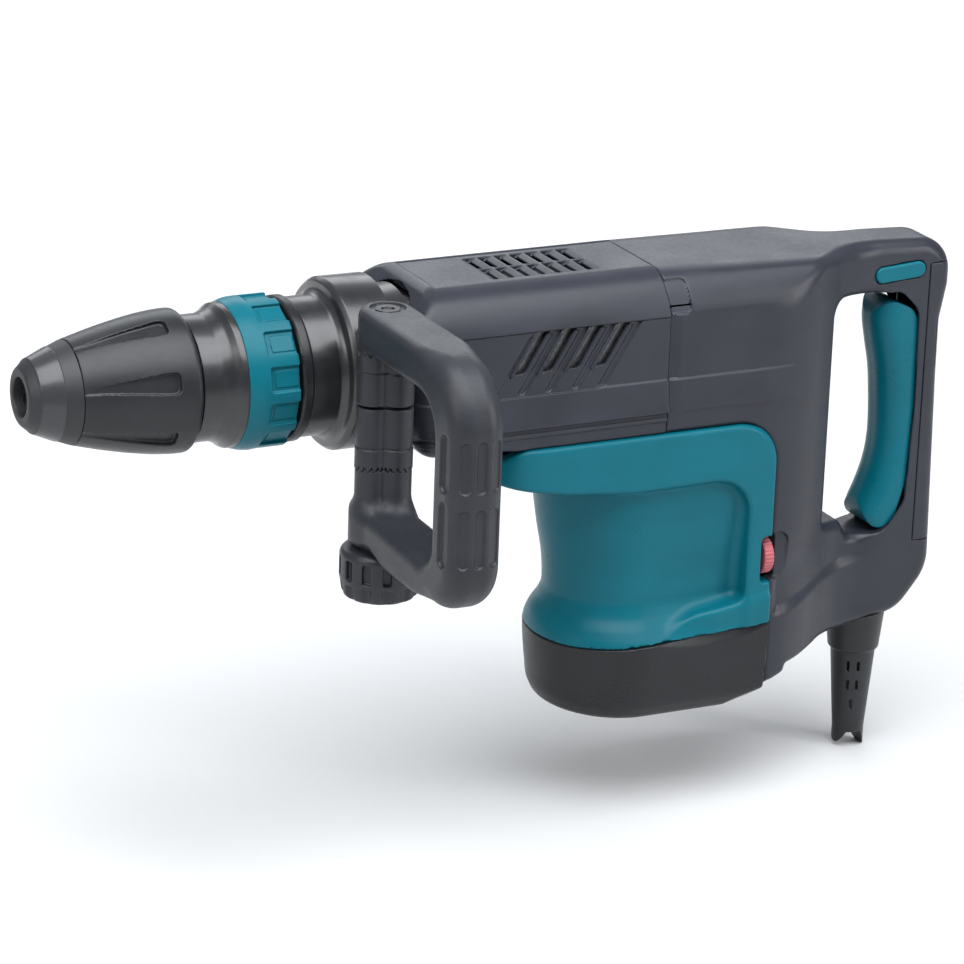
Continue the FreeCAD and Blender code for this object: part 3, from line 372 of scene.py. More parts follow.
def spokes(y, z, count, start):
    """How far a point is across and along the nearest spoke about the hammer axis."""
    pitch = 2 * math.pi / count
    turn = np.arctan2(-y, z) - math.radians(start) + pitch / 2
    turn = np.mod(turn, pitch) - pitch / 2
    radius = np.hypot(y, z)
    return radius * np.sin(turn), radius * np.cos(turn)


# ---------------------------------------------------------------- chuck and barrel


def front_cap():
    return lathe("cap_rubber", [
        (-6, 10.6, 0.8), (-6, 15.2, 2.6), (-1.4, 19.2, 0.5), (-0.9, 19.9, 0.3), (10.6, 24.9, 0.3),
        (11.2, 24.6, 0.2), (19.5, 27.8, 0.3), (19.5, 15, 0), (-0.4, 15, 0), (-0.4, 10.6, 0)])


SLEEVE_OUTER = curve([(19.8, 27.9), (39, 32.8), (54, 35.9), (69, 38), (77.8, 38.4),
                      (80.8, 37.9), (82, 37.3)])
SLEEVE_INNER = straight([(44.2, 24.2), (44.3, 29.2), (70, 29.2), (70.1, 34.35)])
GROOVE_HALF = straight([(20, 1.6), (30, 1.9), (64, 5.6)])
GROOVE_DEPTH = straight([(20, 0.5), (40, 1.6), (60, 2.9), (70, 3.1)])


def release_sleeve(x, y, z):
    r = np.hypot(y, z)
    outer = (r - SLEEVE_OUTER(x)) * 0.975
    body = meet(meet(outer, 19.8 - x, 0.5), x - 82, 2.2)
    across, out = spokes(y, z, 7, 22.5)
    side = meet(np.abs(across) - GROOVE_HALF(x), x - 69.5, 3)
    floor = SLEEVE_OUTER(x) - GROOVE_DEPTH(x) - out
    body = carve(body, meet(side, floor, 0.9), 0.45)
    return np.maximum(body, SLEEVE_INNER(x) - r)


def ring_collar():
    return lathe("mode_ring_collar", [
        (83.5, 24.2, 0), (83.5, 34, 0.5), (95, 34, 6), (99.8, 35.4, 8), (103.6, 38.5, 1.2),
        (107, 38.9, 0.3), (107, 33, 0), (135.5, 33, 0.3), (135.5, 30.4, 0), (101, 30.4, 0),
        (101, 24.2, 0)])


RING_OUTER = curve([(107, 38.9), (109, 39.6), (112, 40.5), (117, 41), (140, 41)])


def change_ring(x, y, z):
    r = np.hypot(y, z)
    body = meet(meet((r - RING_OUTER(x)) * 0.97, 107.1 - x, 0.4), x - 135.4, 1.2)
    across, out = spokes(y, z, 13, 24)
    pocket = brick(x, across, (118.5, 150), (-6.6, 6.6), 1.6)
    body = carve(body, meet(pocket, 38.4 - out, 0.7), 0.55)
    rib = brick(x, across, (121.5, 150), (-4.6, 4.6), 1.2)
    body = np.minimum(body, meet(meet(rib, out - 38.9, 0.4), x - 134.6, 0.4))
    return np.maximum(body, 33.1 - r)


def barrel_nose_ring():
    return lathe("nose_ring", [
        (137, 24.2, 0), (137, 29.5, 0), (137.4, 38.2, 0.9), (138.6, 39.3, 0.9), (142.6, 39.3, 0.6),
        (143.9, 38.3, 0), (143.9, 24.2, 0)])


def barrel():
    return lathe("barrel_casting", [
        (144, 24.2, 0), (144, 37.6, 0.5), (160, 37.8, 3), (163, 40.5, 2.5), (163.4, 44.6, 1.6),
        (166, 46.7, 1.6), (190.5, 46.7, 1), (191.5, 45, 0.5), (191.5, 40, 0.8),
        (204.6, 40, 0), (204.6, 24.2, 0)])


# ---------------------------------------------------------------- body housings

SHELL_SIDE = straight([(-50, 49.6), (-38.2, 49.6), (-37.6, 50.6), (-35.6, 50.6), (-35, 49.6),
                       (-33.4, 49.6), (-32.8, 51.8), (-31.4, 52.2), (-14.6, 49.9), (-13.8, 48.9),
                       (21, 49.1)])
COVER_HALF = 50.5
FLAT_HALF = 30
FLAT_RISE = 0.9
VENTS_START = 256


def cover_section(y, z, inset):
    """The saddle over the crank housing: a flat top, sloping shoulders and round sides."""
    top = z - (COVER_TOP + FLAT_RISE - inset)
    shoulder = 0.57 * (np.abs(y) - FLAT_HALF) + 0.822 * top
    return meet(meet(top, shoulder, 5), np.abs(y) - (COVER_HALF - inset), 13)


def barrel_seat(x, y, z):
    """The round opening at the front, where the barrel enters."""
    return np.maximum(np.hypot(y, z) - 40.4, x - SHELL_FRONT - 12)


def top_cover(x, y, z):
    side = np.abs(y)
    nose = -0.766 * (x - SHELL_FRONT) + 0.642 * (z - 28)
    body = meet(cover_section(y, z, 0), nose, 3.5)
    plan = meet(SHELL_FRONT - x, side - COVER_HALF, 14)
    body = meet(body, plan, 0)
    panel = meet(meet(side - 25, SHELL_FRONT + 19 - x, 1), COVER_TOP - z, 0.2)
    body = carve(body, panel, 0.25)
    body = meet(meet(body, COVER_LOW - z, 0.5), x - (SHELL_REAR - 0.1), 0.7)
    inner = meet(meet(cover_section(y, z, 3.5), nose + 4, 2), SHELL_FRONT + 5 - x, 4)
    body = np.maximum(body, -inner)
    for index in range(7):
        place = VENTS_START + 9.4 * index
        slot = brick(x, side, (place, place + 4.2), (2.2, 19), 1.2)
        dish = brick(x, side, (place - 0.4, place + 8.4), (1.4, 19.8), 1)
        fin = COVER_TOP - 3.5 + 0.46 * (x - place) - z
        body = carve(body, meet(dish, fin, 0.3), 0.2)
        body = carve(body, np.maximum(slot, 30 - z), 0.2)
    return carve(body, barrel_seat(x, y, z), 0.5)


def body_shell(x, y, z):
    side = np.abs(y)
    heel = 1.2 + 6.8 * ease(262, 236, x)
    body = meet((side - SHELL_SIDE(z)) * 0.98, -45 - z, heel)
    body = meet(meet(body, SHELL_FRONT - x, 14), z - COVER_LOW + 0.15, 0.4)
    body = meet(body, x - (SHELL_REAR - 0.1), 0.7)
    lean = (x - VENTS_START) - 0.61 * (z + 1)
    wall = 49.2 - side
    panel = meet(slab(lean, -4.4, 58.5), slab(z, -14.6, 19.5), 1.5)
    body = carve(body, meet(panel * 0.86, wall - 0.9, 0.3), 0.3)
    for index in range(4):
        start = 16.1 * index
        slot = brick(lean, z, (start, start + 6), (-2, 30), 1.6) * 0.86
        body = carve(body, np.maximum(slot, 40 - side), 0.5)
        groove = brick(lean, z, (start + 9.4, start + 13.4), (-13.6, 30), 1.6) * 0.86
        body = carve(body, meet(groove, wall - 1.7, 0.6), 0.4)
        rib = brick(lean, z, (start - 2.6, start - 0.4), (-3, 20.2), 0.8) * 0.86
        body = np.minimum(body, meet(meet(rib, -wall - 0.35, 0.4), 46 - side, 0))
    room = meet(meet(side - 45.6, -40.5 - z, 5), SHELL_FRONT + 5 - x, 9)
    body = np.maximum(body, -room)
    under = meet(slab(side, -45, 45), -x + 254, 3)
    body = np.maximum(body, -np.maximum(under, z + 30))
    return carve(body, barrel_seat(x, y, z), 0.5)


COLUMN_REACH = curve([(-185, 48.6), (-178, 48.6), (-170, 48.5), (-162, 46.6), (-154, 41.9),
                      (-146, 39.6), (-132, 40.6), (-110, 44.5), (-85, 48), (-60, 49)])
COLUMN_HALF = curve([(-185, 52.4), (-178, 52.4), (-170, 51.6), (-162, 47), (-154, 41.4),
                     (-146, 39), (-132, 39.2), (-110, 42), (-85, 45), (-60, 46)])


def motor_plan(x, y, reach, half):
    """The D-shaped plan of the motor column: an elliptical nose and straight flanks."""
    ahead = np.minimum(x - MOTOR_AXIS - 2, 0)
    nose = np.hypot(ahead / reach, y / half)
    return (nose - 1) * np.minimum(reach, half)


def seam_height(x):
    """The slanted seam between the motor housing and its bottom cover."""
    return -172.5 + (x - 280) / 15


def seam_side(x, z):
    """How far a point is above that seam."""
    return (z - seam_height(x)) * 0.998


BAND_PLAN = curve([(244, 24), (247.5, 31), (252, 40), (258, 47.5), (266, 51.6), (275, 52.4),
                   (390, 52.4), (419, 51.6)])
BAND_REACH = 246.5


def motor_housing(x, y, z):
    side = np.abs(y)
    frame_edge = polygon(x, z, softened([
        (247.5, -57, 5), (262, -45.2, 16), (MOTOR_REAR, -45.2, 25), (MOTOR_REAR, -190, 0),
        (403, -190, 0), (403, -76, 22), (330, -77, 60), (290, -73, 60), (250, -66, 4)]))
    band = meet(frame_edge, side - BAND_PLAN(x), 2.4)
    band = meet(band, BAND_REACH - x, 0)
    column = motor_plan(x, y, COLUMN_REACH(z), COLUMN_HALF(z)) * 0.93
    column = meet(column, z + 50, 0)
    foot = polygon(x, z, softened([
        (345, -176, 0), (368, -154.5, 30), (MOTOR_REAR, -146.6, 0), (MOTOR_REAR, -190, 0),
        (345, -190, 0)]))
    foot = meet(foot, side - np.interp(x, [350, 385], [47, 52]), 3)
    body = join(join(band, column, 5), foot, 5)
    body = meet(body, x - (MOTOR_REAR - 0.1), 0.5)
    body = meet(body, -seam_side(x, z) + 0.12, 0.5)
    room = np.maximum(motor_plan(x, y, COLUMN_REACH(z) - 3.6, COLUMN_HALF(z) - 3.6),
                      x - MOTOR_REAR + 4)
    upper = np.maximum(meet(meet(side - 45.4, 254 - x, 18), x - MOTOR_REAR + 4, 4), -67 - z)
    body = np.maximum(body, -np.minimum(room, upper))
    body = np.maximum(body, z - MOTOR_TOP - 0.2)
    return carve(body, dial_room(x, y, z), 0.6)


def dial_room(x, y, z):
    """The recess round the speed dial, shallow behind it."""
    well = brick(x, z, (411.6, 423), (-139.5, -112.5), 3)
    return np.maximum(well, y + 27)


BASE_REACH = curve([(-212, 42.6), (-209, 43.6), (-206, 45), (-196, 46.6), (-172, 48.6),
                    (-160, 48.7)])
BASE_HALF = curve([(-212, 46.4), (-209, 47.6), (-206, 49), (-196, 50.6), (-172, 52.4),
                   (-160, 52.4)])


def motor_bottom_cover(x, y, z):
    body = motor_plan(x, y, BASE_REACH(z), BASE_HALF(z)) * 0.99
    rise = BASE_LOW + 0.34 * np.maximum(x - 396, 0)
    body = meet(body, (rise - z) * 0.97, 4)
    body = meet(meet(body, seam_side(x, z) + 0.12, 0.6), x - MOTOR_REAR + 0.3, 0.5)
    span = np.clip(1 - ((x - 384) / 36) ** 2, 0, 1)
    lip = 0.91 * (y + BASE_HALF(z)) + 0.41 * (seam_height(x) - 6.2 * span - z)
    near = carve(body, lip, 0.5)
    body = np.where(y < 0, near, body)
    room = np.maximum(motor_plan(x, y, BASE_REACH(z) - 4, BASE_HALF(z) - 4), x - MOTOR_REAR + 4)
    room = np.maximum(room, BASE_LOW + 4 + 0.34 * np.maximum(x - 396, 0) - z)
    body = np.maximum(body, -room)
    for index in range(6):
        place = MOTOR_AXIS - 30 + 12 * index
        if abs(place + 2 - MOTOR_AXIS) > 14:
            vent = brick(x, y, (place, place + 4), (-24, 24), 1.5)
            body = carve(body, np.maximum(vent, z - BASE_LOW - 9), 0.5)
    for place, off in ((320, -24), (320, 24), (386, -36), (386, 36)):
        well = np.maximum(np.hypot(x - place, y - off) - 4.3, z - BASE_LOW - 2.6)
        body = carve(body, well, 0.4)
    return body


# ---------------------------------------------------------------- rear housing and handle

HANDLE_PLAN = curve([(345, 50.4), (400, 50.3), (422, 49.4), (434, 46.6), (447, 40.5), (459, 32.4),
                     (470, 25), (480, 20.4), (490, 18.4), (500, 17.8), (560, 17.8)])


def handle_outline(x, z):
    """The rear housing and grip, seen from the side."""
    rear = HANDLE_REAR
    return polygon(x, z, softened([
        (330, -45, 0), (330, 44.6, 0), (352, 44, 0), (400, 42, 0), (450, 40.7, 0), (500, 40.1, 0),
        (rear, 37.9, 20), (rear, 11, 14), (rear - 4, -10, 24), (rear - 3.6, -45, 50),
        (rear - 0.6, -160, 28), (rear - 20, -184, 24), (486, -190.5, 0), (458, -193, 30),
        (435.5, -193.8, 1.5), (434, -198, 2.5), (MOTOR_REAR + 0.15, -201.5, 0),
        (MOTOR_REAR + 0.15, -45.1, 25)]))


def hand_window(x, z):
    """The opening for the fingers, seen from the side."""
    return polygon(x, z, softened([
        (466, 10, 9), (513, 9.8, 9), (525.4, -2, 13), (526.4, -60, 60), (524, -116, 14),
        (511, -134, 12), (489, -133, 4), (484, -124, 6), (466, -122, 8)]))


def side_creases(x, z):
    """How much the near and far sides step in or out where the shell's lines run on."""
    upper = -1.5 * (1 - ease(396, 420, x)) * ease(22.2, 21.2, z) * ease(-14.9, -13.9, z)
    middle = 2.2 * (1 - ease(405, 436, x)) * ease(-33.4, -32.6, z) * ease(-14.2, -15.0, z)
    middle = middle * (0.35 + 0.65 * ease(-14.5, -31, z))
    front = -1.5 * (1 - ease(349, 357, x)) * ease(-33.4, -32, z)
    return upper + middle + front


STRUT_TOP = straight([(400, -158), (430, -155), (463, -148), (502, -141), (527, -135), (547, -129)])


def strut(x, z):
    """How far the side stands back above the slanting edge across the lower arm."""
    below = STRUT_TOP(x) - z
    set_back = 1 - ease(0, 8, below)
    return -2.6 * set_back * ease(-40, -12, below) * ease(419, 426, x) * ease(512, 478, x)


def rear_solid(x, y, z):
    """The rear housing and grip before anything is cut out of them."""
    side = np.abs(y)
    wide = HANDLE_PLAN(x) + side_creases(x, z) + strut(x, z)
    flank = (side - wide) * np.interp(x, [415, 445, 480, 500], [1, 0.85, 0.85, 1]) * 0.97
    edge = np.interp(x, [425, 470, 505], [3, 9, 8])
    body = meet(flank, handle_outline(x, z), edge)
    section = cover_section(y, z, 0)
    return meet(body, section - ease(440, 510, x) * 3, 3)


def back_strip(x, z):
    """The part of the grip that the back cover takes up, seen from the side."""
    return np.maximum(np.maximum(BACK_SEAM - x, z - 25), -141 - z)


def lever_channel(x, y, z):
    """The hollow in the grip that the switch lever sinks into."""
    return np.maximum(np.maximum(slab(x, 505, 538), np.abs(y) - LEVER_HALF - 0.5),
                      slab(z, -130, 8))


def rear_handle(x, y, z):
    side = np.abs(y)
    body = rear_solid(x, y, z)
    step = meet(meet(slab(x, 340, 361.5), 37.5 - side, 3), 22.5 - z, 3)
    body = carve(body, meet(step, -cover_section(y, z, 1.4), 0.4), 0.7)
    window = hand_window(x, z)
    lip = 0.7 + 5.3 * ease(508, 494, x)
    body = carve(body, window, lip)
    body = np.maximum(body, -lever_channel(x, y, z))
    body = carve(body, back_strip(x, z), 0.5)
    body = carve(body, lock_pill(x, z, 0.45), 0.5)
    body = carve(body, dial_room(x, y, z), 0.8)
    scoop = meet(brick(x, z, (415, 431), (-139, -112), 7), y + 45.8, 1.5)
    body = carve(body, scoop, 0.8)
    room = meet(side - HANDLE_PLAN(x) + 4.5, x - 455, 3)
    upper = np.maximum(np.maximum(room, slab(z, -40.5, 26)), x - 452)
    lower = np.maximum(np.maximum(room, slab(z, -180, -60)), slab(x, 400, 447))
    lower = np.maximum(lower, side - 40)
    crank = meet(meet(side - 45.2, z - 34, 17), slab(x, 340, 368), 0)
    link = np.maximum(np.maximum(side - 28, slab(x, 424, 444)), slab(z, -70, -38))
    hollow = np.minimum(np.minimum(upper, lower), np.minimum(np.maximum(crank, -67 - z), link))
    body = np.maximum(body, -hollow)
    stem = np.maximum(np.hypot(x - GUARD_X, y) - 9.4, z + 174)
    body = np.maximum(body, -stem)
    return meet(body, SHELL_REAR + 0.1 - x, 0.9)


def handle_back_cover(x, y, z):
    body = meet(rear_solid(x, y, z), back_strip(x, z) + 0.25, 0.5)
    return np.maximum(body, -lever_channel(x, y, z))


def lock_pill(x, z, gap):
    """The lock button's rounded outline, with a gap round it."""
    lean = math.radians(4)
    u = (x - 511) * math.cos(lean) + (z - 21.5) * math.sin(lean)
    v = (z - 21.5) * math.cos(lean) - (x - 511) * math.sin(lean)
    return segment(u, v, (-11.4, 0), (11.4, 0)) - 4.6 - gap


def lock_button(x, y, z):
    side = np.abs(y)
    return meet(lock_pill(x, z, 0), side - (HANDLE_HALF + 1.1), 1.1)


LEVER_FRONT = curve([(-132, 499), (-125, 497.5), (-118, 499.5), (-110, 503), (-95, 508),
                     (-76, 510), (-56, 509), (-38, 507), (-24, 504), (-8, 501.5), (7, 502.5)])


def switch_lever(x, y, z):
    outline = polygon(x, z, softened([
        (470, -122, 0), (498, -127, 5), (504, -132, 8), (518, -131.5, 12), (525.5, -106, 30),
        (527.8, -56, 60), (526.6, -3.5, 12), (508, 5, 9), (470, 8, 0)]))
    body = meet(outline, np.abs(y) - LEVER_HALF, 1.2)
    body = meet(body, (LEVER_FRONT(z) - x) * 0.97, 13)
    room = meet(np.abs(y) - LEVER_HALF + 2.6, 516.5 - x, 4)
    plunger_room = np.maximum(brick(y, z, (-5, 5), (-60, -40), 1), 514 - x)
    room = np.minimum(room, plunger_room)
    return np.maximum(body, -np.maximum(room, slab(z, -113, -2)))


def speed_dial(x, y, z):
    r = np.hypot(y + 41.5, z + 126)
    turn = np.arctan2(z + 126, y + 41.5)
    knurl = 0.35 * np.cos(30 * turn)
    crown = 0.02 * (x - 417.2) ** 2 * 2
    body = meet(r - 11 + crown + knurl * 0.5 + 0.2, slab(x, 414.2, 420.2), 0.8) * 0.9
    return np.maximum(body, 2 - r)


def cord_guard(x, y, z):
    r = np.hypot(x - GUARD_X, y)
    taper = (r - np.interp(z, [-265, -206], [8.6, 13.2])) * 0.997
    body = meet(taper, -265 - z, 1.2)
    collar = meet(r - np.interp(z, [-209, -185], [14.6, 17]), -208 - z, 1.5)
    stem = np.maximum(r - 9.2, z + 176)
    body = np.minimum(join(body, collar, 1.2), stem)
    body = np.maximum(body, z + 176)
    slope_top = -184.4 - 0.12 * (GUARD_X - x)
    body = np.where(r > 9.2, np.maximum(body, z - slope_top), body)
    side = (x - GUARD_X) * math.cos(0.46) - y * math.sin(0.46)
    for height, place in ((-217, -3), (-217, 3), (-229, -2.6), (-229, 2.6), (-241, 0)):
        mark = brick(side, z, (place - 0.7, place + 0.7), (height - 3, height + 3), 0.5)
        body = carve(body, np.maximum(mark, 9 - r), 0.3)
    notch = np.abs(x - GUARD_X + 1) - 3.6 - 0.5 * (-259 - z)
    body = carve(body, np.maximum(notch * 0.9, z + 259.5), 1.0)
    return np.maximum(body, 4.6 - r)


# ---------------------------------------------------------------- side handle


def post_plan(x, y):
    """The plan of the clamp post: two lobes with a groove between them on the near side."""
    lean = math.radians(24)
    lobes = []
    for step in (-6.2, 6.2):
        across = x - POST_X - step * math.cos(lean)
        along = y - POST_Y + step * math.sin(lean)
        lobes.append(np.hypot(across, along) - 8.9)
    back = np.hypot(x - POST_X - 2, y - POST_Y - 5) - 9
    return join(join(lobes[0], lobes[1], 1.6), back, 3)


def serration(x, y, height):
    """The height of a joint's teeth, which run round the post."""
    turn = np.arctan2(y - POST_Y, x - POST_X)
    wave = np.abs(np.mod(turn * 24 / (2 * math.pi), 1) - 0.5) * 4 - 1
    return height + 1.1 * np.clip(wave * 1.6, -1, 1)


def clamp_blank(x, y, z):
    r = np.hypot(y, z)
    band = meet(r - 48.0, slab(x, 177, 191), 1.0)
    post = post_plan(x, y)
    web = meet(slab(x, 166, 191), slab(y, POST_Y + 2, -30), 2)
    web = meet(web, slab(z, EAR_LOW + 7, EAR_TOP), 4)
    for height in (EAR_LOW + 11, EAR_TOP - 10):
        post = carve(post, meet(slab(z, height - 0.5, height + 0.5), -post - 0.6, 0), 0.3)
    swell = ease(EAR_LOW + 11.5, EAR_LOW + 10.5, z) + ease(EAR_TOP - 10.5, EAR_TOP - 9.5, z)
    post = post - 0.3 * swell
    lug = meet(meet(slab(x, 177.5, 190.5), slab(y, 40, 60), 2), slab(z, -16, 6), 2)
    body = join(join(band, np.minimum(web, post), 3), lug, 3)
    body = np.maximum(body, 46.78 - r)
    body = np.maximum(body, z - serration(x, y, EAR_TOP) + 0.15)
    body = np.maximum(body, serration(x, y, EAR_LOW) + 0.15 - z)
    bore = np.hypot(x - POST_X, y - POST_Y) - 5.1
    screw = np.hypot(x - 184, y - 55) - 2.7
    return np.maximum(body, -np.minimum(bore, screw))


def clamp_half_upper(x, y, z):
    return meet(clamp_blank(x, y, z), -4.2 - z, 0.6)


def clamp_half_lower(x, y, z):
    return meet(clamp_blank(x, y, z), z + 5.8, 0.6)


GRIP_SECTION = 15.2
FLUTE_LINE = -164.5


def side_grip(x, y, z):
    """The D-shaped side handle: two arms from the post, joined by the grip."""
    outer = polygon(y, z, softened([
        (POST_Y + 30, GRIP_TOP, 0), (POST_Y + 30, GRIP_LOW + 4, 0), (POST_Y - 17, GRIP_LOW + 4, 0),
        (POST_Y - 32, GRIP_LOW, 20), (GRIP_OUT, GRIP_LOW, 27), (GRIP_OUT, GRIP_TOP, 36)]))
    window = polygon(y, z, softened([
        (POST_Y + 60, -61, 0), (POST_Y - 24, -62, 22), (-146.5, -64, 12), (-146.5, 24.4, 21),
        (POST_Y + 60, 24.4, 0)]))
    edge = 5 + 7 * ease(-125, -150, y)
    plan = meet(np.abs(x - POST_X) - GRIP_SECTION, outer, edge)
    arm = carve(plan, window, 7 + 2.5 * ease(-125, -146, y))
    cap = np.hypot(x - POST_X, y - POST_Y) - GRIP_SECTION
    arm = np.maximum(arm, np.where(y > POST_Y, meet(cap, z - GRIP_TOP, edge), -99))
    post = post_plan(x, y)
    upper_post = np.maximum(post, slab(z, serration(x, y, EAR_TOP) + 0.15, 34))
    lower_post = np.maximum(post, slab(z, GRIP_LOW + 7, serration(x, y, EAR_LOW) - 0.15))
    body = join(join(arm, upper_post, 2), lower_post, 9)
    gap = np.maximum(slab(z, serration(x, y, EAR_LOW) - 0.15, serration(x, y, EAR_TOP) + 0.15),
                     -110 - y)
    body = np.maximum(body, -gap)
    for low_end, high_end in ((-54, -28), (-14, 8)):
        dent = segment(y, z, (FLUTE_LINE, low_end), (FLUTE_LINE, high_end)) - 4.4
        body = carve(body, meet(dent, -1.7 - arm, 1.2), 0.8)
        for step in (-8.4, 0, 8.4):
            dent = segment(x, z, (POST_X + step, low_end), (POST_X + step, high_end)) - 2.6
            body = carve(body, np.maximum(meet(dent, -1.2 - arm, 0.9), y + 168), 0.8)
    bore = np.hypot(x - POST_X, y - POST_Y) - 5
    socket = np.maximum(np.hypot(x - POST_X, y - POST_Y) - 9.4, GRIP_TOP - 1.4 - z)
    return carve(np.maximum(body, -bore), socket, 0.5)


def clamp_knob(x, y, z):
    r = np.hypot(x - POST_X, y - POST_Y)
    turn = np.arctan2(y - POST_Y, x - POST_X)
    pitch = 2 * math.pi / 12
    fold = np.mod(turn, pitch) - pitch / 2
    wide = KNOB_HALF - 0.16 * np.maximum(-99 - z, 0)
    body = meet(meet(r - wide, KNOB_LOW - z, 3), z - KNOB_TOP, 4)
    across = r * np.sin(fold)
    out = r * np.cos(fold)
    slot = brick(across, z, (-2.4, 2.4), (-99, KNOB_TOP - 4.5), 1)
    body = carve(body, meet(slot, KNOB_HALF - 2.8 - out, 0.8), 0.7)
    scallop = meet(np.hypot(across, out - wide - 1.6) - 3.6, z + 102, 0.5)
    body = carve(body, scallop, 0.8)
    return np.maximum(body, 5.1 - r)


def clamp_bolt():
    """The clamp bolt: a stem, and a hexagon head in the top of the side handle."""
    top = GRIP_TOP - 0.6
    spots = []
    rings = [(KNOB_LOW + 2, 5.0, 0), (GRIP_TOP - 5.5, 5.0, 0), (GRIP_TOP - 5.5, 7.6, 1),
             (top - 1, 7.6, 1), (top, 6.9, 0.6), (top - 0.1, 3.6, 0), (top - 0.9, 3.2, 0)]
    count = 48
    for height, radius, hexed in rings:
        for index in range(count):
            turn = 2 * math.pi * index / count
            fold = (turn % (math.pi / 3)) - math.pi / 6
            reach = radius * (1 - hexed + hexed * math.cos(math.pi / 6) / math.cos(fold))
            spots.append((POST_X + reach * math.cos(turn), POST_Y + reach * math.sin(turn), height))
    faces = [tuple(range(count)), tuple(range(len(spots) - count, len(spots)))]
    for row in range(len(rings) - 1):
        for index in range(count):
            ahead = (index + 1) % count
            faces.append((row * count + index, row * count + ahead,
                          (row + 1) * count + ahead, (row + 1) * count + index))
    return creased(mesh_object("clamp_bolt_head", spots, faces), 28)

# ---------------------------------------------------------------- materials


class Look:
    """A node material under construction; places in it are in millimetres of the object."""

    def __init__(self, name, color, rough):
        self.material = bpy.data.materials.new(name)
        self.material.use_nodes = True
        self.tree = self.material.node_tree
        self.shader = self.tree.nodes["Principled BSDF"]
        self.shader.inputs["Base Color"].default_value = (*color, 1)
        self.shader.inputs["Roughness"].default_value = rough
        self.place = self.tree.nodes.new("ShaderNodeTexCoord").outputs["Object"]
        self.color = color
        self.height = None

    def link(self, start, end):
        self.tree.links.new(start, end)

    def fixed(self, **values):
        for key, value in values.items():
            self.shader.inputs[key.replace("_", " ")].default_value = value

    def math(self, kind, a, b):
        node = self.tree.nodes.new("ShaderNodeMath")
        node.operation = kind
        for socket, value in zip(node.inputs, (a, b)):
            if isinstance(value, (int, float)):
                socket.default_value = value
            else:
                self.link(value, socket)
        return node.outputs[0]

    def noise(self, size, detail=2.0, stretch=(1, 1, 1)):
        """Noise whose lumps are about size millimetres across."""
        scale = self.tree.nodes.new("ShaderNodeMapping")
        scale.inputs["Scale"].default_value = [1 / v for v in stretch]
        self.link(self.place, scale.inputs["Vector"])
        node = self.tree.nodes.new("ShaderNodeTexNoise")
        node.inputs["Scale"].default_value = 1 / (size * MM)
        node.inputs["Detail"].default_value = detail
        self.link(scale.outputs[0], node.inputs["Vector"])
        return node.outputs["Fac"]

    def grains(self, size):
        node = self.tree.nodes.new("ShaderNodeTexVoronoi")
        node.inputs["Scale"].default_value = 1 / (size * MM)
        self.link(self.place, node.inputs["Vector"])
        return node.outputs["Distance"]

    def spread(self, value, low_value, high_value, start=0.35, end=0.65):
        """Maps a noise's middle range onto a range of numbers."""
        node = self.tree.nodes.new("ShaderNodeMapRange")
        for key, number in (("From Min", start), ("From Max", end),
                            ("To Min", low_value), ("To Max", high_value)):
            node.inputs[key].default_value = number
        self.link(value, node.inputs["Value"])
        return node.outputs[0]

    def mix(self, factor, one, two):
        node = self.tree.nodes.new("ShaderNodeMix")
        node.data_type = "RGBA"
        self.link(factor, node.inputs["Factor"])
        for key, value in (("A", one), ("B", two)):
            socket = [s for s in node.inputs if s.name == key and s.type == "RGBA"][0]
            if isinstance(value, tuple):
                socket.default_value = (*value, 1)
            else:
                self.link(value, socket)
        return [s for s in node.outputs if s.type == "RGBA"][0]

    def paint(self, color):
        self.link(color, self.shader.inputs["Base Color"])

    def mottle(self, value, one, two):
        """Paints between two colours, as a noise goes from low to high."""
        self.paint(self.mix(self.spread(value, 0, 1), one, two))

    def rough(self, value):
        self.link(value, self.shader.inputs["Roughness"])

    def bump(self, value, depth, strength=1.0):
        """Adds relief of the given depth in millimetres."""
        node = self.tree.nodes.new("ShaderNodeBump")
        node.inputs["Strength"].default_value = strength
        node.inputs["Distance"].default_value = depth * MM
        self.link(value, node.inputs["Height"])
        if self.height is not None:
            self.link(self.height, node.inputs["Normal"])
        self.height = node.outputs[0]
        self.link(self.height, self.shader.inputs["Normal"])

    def worn_edges(self, radius):
        """How sharply the surface turns here: 0 on flats, towards 1 on outer edges."""
        bevel = self.tree.nodes.new("ShaderNodeBevel")
        bevel.inputs["Radius"].default_value = radius * MM
        bevel.samples = 4
        place = self.tree.nodes.new("ShaderNodeNewGeometry")
        dot = self.tree.nodes.new("ShaderNodeVectorMath")
        dot.operation = "DOT_PRODUCT"
        self.link(bevel.outputs[0], dot.inputs[0])
        self.link(place.outputs["Normal"], dot.inputs[1])
        return self.spread(dot.outputs["Value"], 1.0, 0.0, 0.86, 0.995)


def shade(color, factor):
    return tuple(min(1.0, v * factor) for v in color)


